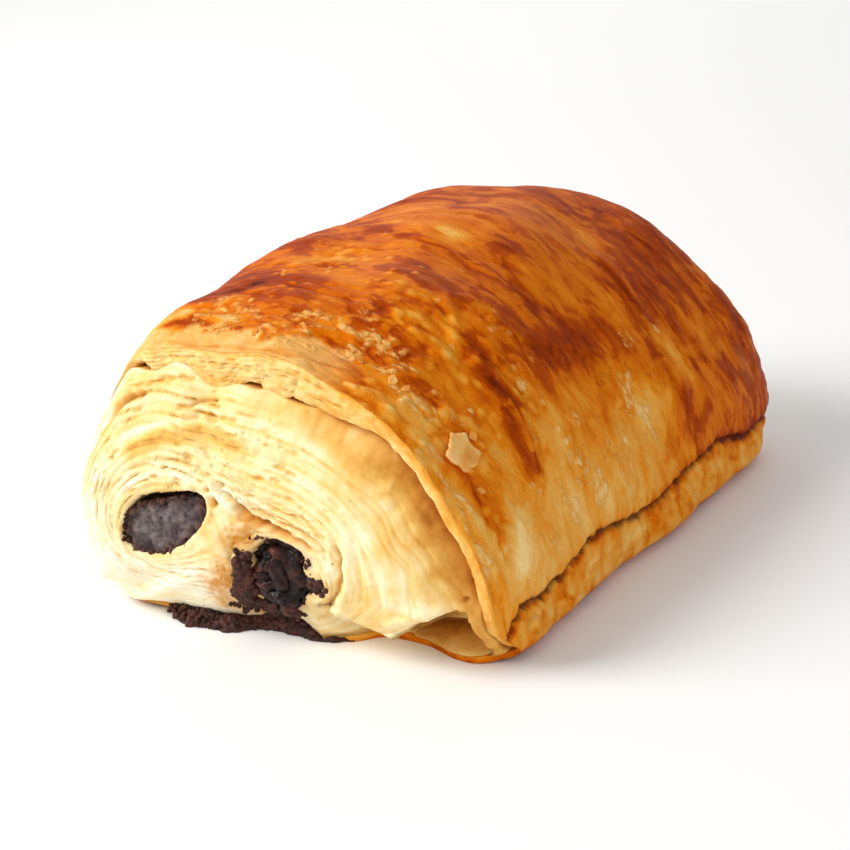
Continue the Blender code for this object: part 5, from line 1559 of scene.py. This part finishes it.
def dough_look():
    k = Look("laminated_dough")
    k.set(Specular_IOR_Level=0.12, Specular_Tint=(1.0, 0.85, 0.6, 1.0), Subsurface_Weight=0.15, Subsurface_Scale=0.0010)
    k.bsdf.inputs["Subsurface Radius"].default_value = (1.0, 0.55, 0.22)
    flow = k.attr("flow", vector=True)
    smooth = k.attr("smooth_part")
    place = k.place()
    fibre = k.noise(k.scaled(flow, (1.3, 0.30, 1)), 1.0, 3, 0.6, 0.3)
    lamina = k.noise(k.scaled(flow, (0.42, 0.11, 1), (3, 1, 0)), 1.0, 4, 0.6, 0.5)
    mottle = k.noise(place, 160, 4, 0.6)
    large = k.noise(place, 62, 4, 0.6, 0.6)
    grain = k.noise(place, 1100, 2, 0.6)
    layered = k.math("SUBTRACT", 1.0, smooth)
    tone = k.add(k.attr("tone"), (mottle, 0.24), (grain, 0.08))
    tone = k.math("ADD", tone, k.math("MULTIPLY", k.math("SUBTRACT", fibre, 0.5), k.math("MULTIPLY_ADD", layered, 0.17, 0.06)))
    thin = k.span(lamina, 0.52, 0.62, 0.0, 0.13)
    tone = k.math("ADD", tone, k.math("MULTIPLY", thin, layered))
    tone = k.math("ADD", tone, k.math("MULTIPLY", k.math("SUBTRACT", large, 0.5), k.math("MULTIPLY_ADD", smooth, 0.30, 0.30)))
    colour = k.ramp(k.math("MULTIPLY", tone, 1 / 1.2), DOUGH_STOPS)
    # the deep brown: painted shade in slits, pores, pits, the air pocket and under the left bar's hood, and the dirtied
    # lower edge
    deep = k.add(k.attr("deep"), (mottle, 0.12))
    colour = k.mixed(k.math("MULTIPLY", deep, 0.9, clamp=True), colour, srgb(134, 68, 14))
    stain = k.math("MULTIPLY", k.attr("stain"), k.span(mottle, 0.35, 0.6, 0.45, 1.0))
    colour = k.mixed(k.math("MULTIPLY", stain, 0.85, clamp=True), colour, srgb(204, 126, 14))
    colour = k.mixed(k.attr("choc"), colour, srgb(50, 26, 20))
    speck = k.span(k.voronoi(place, 420), 0.05, 0.11, 1.0, 0.0)
    speck = k.math("MULTIPLY", speck, k.span(k.noise(place, 260, 1), 0.60, 0.66))
    colour = k.mixed(k.math("MULTIPLY", speck, 0.55), colour, srgb(150, 88, 34))
    rough = k.add(k.math("MULTIPLY_ADD", smooth, -0.12, 0.66), (mottle, 0.15))
    height = k.add(k.math("MULTIPLY", k.math("MULTIPLY", fibre, layered), 0.4), (mottle, 0.4), (grain, 0.35), (thin, -1.2))
    return k.finish(colour, rough, height, 0.35, 0.0003)


def flake_look():
    k = Look("lifted_flake")
    k.set(Specular_IOR_Level=0.05, Subsurface_Weight=0.1, Subsurface_Scale=0.0008)
    place = k.place()
    mottle = k.noise(place, 500, 3, 0.6)
    tone = k.add(k.attr("pale"), (mottle, 0.9))
    colour = k.ramp(tone, [(0.0, srgb(248, 210, 146)), (0.4, srgb(242, 182, 98)), (0.8, srgb(228, 146, 58)), (1.0, srgb(204, 116, 32))])
    return k.finish(colour, k.span(mottle, 0, 1, 0.4, 0.62), k.noise(place, 1300, 2), 0.25, 0.0002)


def chocolate_look(name, melted):
    k = Look(name)
    place = k.place()
    lump = k.noise(place, 420, 3, 0.6)
    grain = k.noise(place, 1500, 3, 0.6)
    worn = k.attr("worn")
    # on both bars the colour follows the relief: crevices are painted darker and bumps paler, as painted shade
    if melted:
        k.set(Specular_IOR_Level=0.16, Coat_Weight=0.12, Coat_Roughness=0.22)
        tone = k.add(k.math("MULTIPLY_ADD", k.attr("raised"), 0.8, -0.08), (lump, 0.6), (grain, 0.4))
        colour = k.ramp(tone, [(0.0, srgb(16, 7, 6)), (0.4, srgb(42, 18, 14)), (0.7, srgb(80, 38, 27)), (1.0, srgb(124, 68, 46))])
        rough = k.add(k.math("MULTIPLY_ADD", worn, -0.12, 0.42), (lump, 0.3))
    else:
        k.set(Specular_IOR_Level=0.30)
        tone = k.add(k.math("MULTIPLY_ADD", k.attr("raised"), 0.7, 0.14), (lump, 0.8), (grain, 0.7))
        dark = k.ramp(tone, [(0.0, srgb(22, 11, 10)), (0.35, srgb(46, 26, 23)), (0.6, srgb(78, 50, 42)), (1.0, srgb(120, 86, 72))])
        # painted sheen: the middle of the cut face turns greyish, as if catching the light
        pale = k.ramp(tone, [(0.0, srgb(36, 28, 30)), (0.35, srgb(78, 68, 70)), (0.6, srgb(122, 112, 112)), (1.0, srgb(172, 162, 160))])
        colour = k.mixed(k.math("MULTIPLY", worn, 1.0, clamp=True), dark, pale)
        rough = k.span(lump, 0.3, 0.7, 0.5, 0.7)
    return k.finish(colour, rough, k.add(k.math("MULTIPLY", lump, 0.6), (grain, 0.5)), 0.5, 0.0003)


def seep_look():
    k = Look("rough_chocolate")
    k.set(Specular_IOR_Level=0.25)
    place = k.place()
    lump = k.noise(place, 520, 3, 0.6)
    grain = k.noise(place, 1700, 3, 0.6)
    tone = k.add(k.math("MULTIPLY", lump, 1.0), (grain, 0.5))
    colour = k.ramp(tone, [(0.2, srgb(34, 16, 14)), (0.5, srgb(66, 34, 27)), (0.75, srgb(104, 62, 48)), (1.0, srgb(150, 104, 78))])
    return k.finish(colour, k.span(lump, 0.3, 0.7, 0.45, 0.75), grain, 0.5, 0.0003)


def floor_look():
    k = Look("pale_floor")
    k.set(Specular_IOR_Level=0.2)
    place = k.place()
    cloud = k.noise(place, 3.0, 2, 0.5)
    colour = k.ramp(cloud, [(0.0, (0.90, 0.90, 0.895, 1)), (1.0, (0.93, 0.93, 0.925, 1))])
    return k.finish(colour, k.span(cloud, 0, 1, 0.75, 0.85))


# ------------------------------------------------------------------ build
crust, SKIN_P, SKIN_ARC = build_crust()
near_end, NEAR_P, NEAR_FLAT = build_end(True)
far_end, FAR_P, FAR_FLAT = build_end(False)
left_bar = build_bar("left_bar_rough", LEFT_FACE, LEFT_FAR, -51.9, 0.5, 49.4, False, 81)
right_bar = build_bar("right_bar_melted", RIGHT_FACE, RIGHT_FAR, -50.3, 0.3, 49.4, True, 84)
seep = build_seep()
flakes = build_flakes(Skin(SKIN_P, SKIN_ARC))


def build_crumbs():
    g = np.random.default_rng(31)
    centres, sizes = [], []
    fields = [((-3.7, 10.4), (1.0, 2.2), 80, (0.25, 0.95)), ((-4.7, 7.6), (1.2, 1.6), 80, (0.25, 0.95)), ((-5.6, 5.8), (1.0, 1.0), 30, (0.2, 0.6)),
              ((-2.4, 3.6), (2.6, 0.9), 50, (0.25, 0.9)),
              ((-3.2, 13.2), (0.9, 1.5), 34, (0.2, 0.6)), ((9.2, 10.8), (0.8, 0.9), 26, (0.2, 0.6)), ((7.9, 14.4), (0.6, 1.4), 18, (0.15, 0.45)),
              ((0.4, 17.0), (2.0, 0.5), 16, (0.15, 0.4)), ((-4.6, 16.4), (0.6, 0.9), 5, (0.12, 0.26)),
              ((0.4, 4.8), (3.0, 0.8), 46, (0.25, 0.75)), ((-25.0, 25.4), (0.2, 0.2), 1, (0.14, 0.16)), ((-7.2, 4.6), (1.0, 0.6), 12, (0.2, 0.5))]
    for (cx, cz), (sx, sz), count, (lo, hi) in fields:
        for _ in range(count):
            x, z = cx + g.normal() * sx * 0.6, max(cz + g.normal() * sz * 0.6, 0.8)
            size = g.uniform(lo, hi) ** 1.2
            r, c = np.unravel_index(np.argmin((NEAR_P[..., 0] - x) ** 2 + (NEAR_P[..., 2] - z) ** 2), NEAR_P.shape[:2])
            inside = float(outside(np.array([x]), np.array([z]), RIGHT_FACE)[0]) < -0.2
            centres.append(np.array([x, min(NEAR_FLAT[r, c], -50.2) if inside else NEAR_FLAT[r, c] - 0.3 * size, z]))
            sizes.append(size)
    # crumbly top and front of the run-out
    for _ in range(190):
        x = g.uniform(-22.0, 6.0)
        front, high = np.interp(x, SEEP[:, 0], SEEP[:, 1]), np.interp(x, SEEP[:, 0], SEEP[:, 2])
        a = g.uniform(0.05, 0.75) * np.pi * 0.75
        size = g.uniform(0.2, 0.62)
        centres.append(np.array([x, front + 2.1 - 2.1 * math.cos(a), max(high * math.sin(a), 0.3 * size) + 0.05]))
        sizes.append(size)
    # broken rim of the left bar
    for u in g.uniform(0, 2 * np.pi, 90):
        r = float(reach_of(LEFT_FACE[1], u)) * g.uniform(0.90, 1.0)
        (cx, cz) = LEFT_FACE[0]
        centres.append(np.array([cx + r * math.cos(u), -51.95 + g.uniform(-0.2, 0.35), cz + r * math.sin(u)]))
        sizes.append(g.uniform(0.18, 0.55))
    ob = lumps("chocolate_crumbs", centres, sizes, 12)
    n = len(ob.data.vertices)
    give(ob, worn=g.normal(size=n) * 0.2, raised=np.full(n, 0.5))
    return ob


crumbs = build_crumbs()

CRUST, DOUGH = crust_look(), dough_look()
crust.data.materials.append(CRUST)
near_end.data.materials.append(DOUGH)
far_end.data.materials.append(DOUGH)
flakes.data.materials.append(flake_look())
left_bar.data.materials.append(chocolate_look("matte_chocolate", False))
right_bar.data.materials.append(chocolate_look("melted_chocolate", True))
seep.data.materials.append(seep_look())
crumbs.data.materials.append(bpy.data.materials["rough_chocolate"])

for piece in (crust, near_end, far_end, flakes):
    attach(piece, "root")
for piece in (left_bar, right_bar, seep, crumbs):
    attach(piece, "root")
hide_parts("pastry")
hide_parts("chocolate_bar_left")
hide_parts("chocolate_bar_right")
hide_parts("chocolate_seep")


# ------------------------------------------------------------------ stage, light, camera
def make_camera():
    az, el, roll = math.radians(34.1476), math.radians(20.0256), math.radians(-5.2511)
    back = Vector((math.sin(az) * math.cos(el), -math.cos(az) * math.cos(el), math.sin(el)))
    right = Vector((math.cos(az), math.sin(az), 0.0))
    up = back.cross(right)
    right, up = (right * math.cos(roll) + up * math.sin(roll),
                 up * math.cos(roll) - right * math.sin(roll))
    target = Vector((-0.0039, -0.0019, 0.0158)) + Vector(SHIFT * 0.001)
    pos = target + back * 0.3743
    cam = bpy.data.cameras.new("view")
    cam.lens = 100
    cam.sensor_width = 36
    cam.clip_start = 0.01
    ob = bpy.data.objects.new("view", cam)
    ob.matrix_world = Matrix(((right.x, up.x, back.x, pos.x), (right.y, up.y, back.y, pos.y),
                              (right.z, up.z, back.z, pos.z), (0, 0, 0, 1)))
    bpy.context.scene.collection.objects.link(ob)
    bpy.context.scene.camera = ob


def make_stage():
    s = 1.5
    me = bpy.data.meshes.new("floor")
    me.from_pydata([(-s, -s, 0), (s, -s, 0), (s, s, 0), (-s, s, 0)], [], [(0, 1, 2, 3)])
    ob = bpy.data.objects.new("floor", me)
    bpy.context.scene.collection.objects.link(ob)
    ob.data.materials.append(floor_look())


def area(name, where, aim, size, power, colour=(1, 1, 1)):
    light = bpy.data.lights.new(name, "AREA")
    light.shape = "RECTANGLE"
    light.size, light.size_y = size
    light.energy = power
    light.color = colour
    ob = bpy.data.objects.new(name, light)
    ob.location = where
    ob.rotation_euler = (Vector(aim) - Vector(where)).to_track_quat("-Z", "Y").to_euler()
    bpy.context.scene.collection.objects.link(ob)


def make_light():
    world = bpy.data.worlds.new("studio")
    world.use_nodes = True
    bg = world.node_tree.nodes["Background"]
    bg.inputs["Color"].default_value = (1, 1, 1, 1)
    bg.inputs["Strength"].default_value = 0.46
    bpy.context.scene.world = world
    area("key", (-0.48, -0.35, 0.48), (0, 0, 0.02), (0.42, 0.42), 5.6, (1.0, 0.985, 0.96))
    area("fill", (0.55, -0.40, 0.30), (0, 0, 0.02), (0.5, 0.5), 1.1)
    area("rim", (-0.30, 0.55, 0.35), (0, 0, 0.04), (0.6, 0.35), 0.9)
    bpy.context.scene.view_settings.view_transform = "Standard"


make_camera()
make_stage()
make_light()
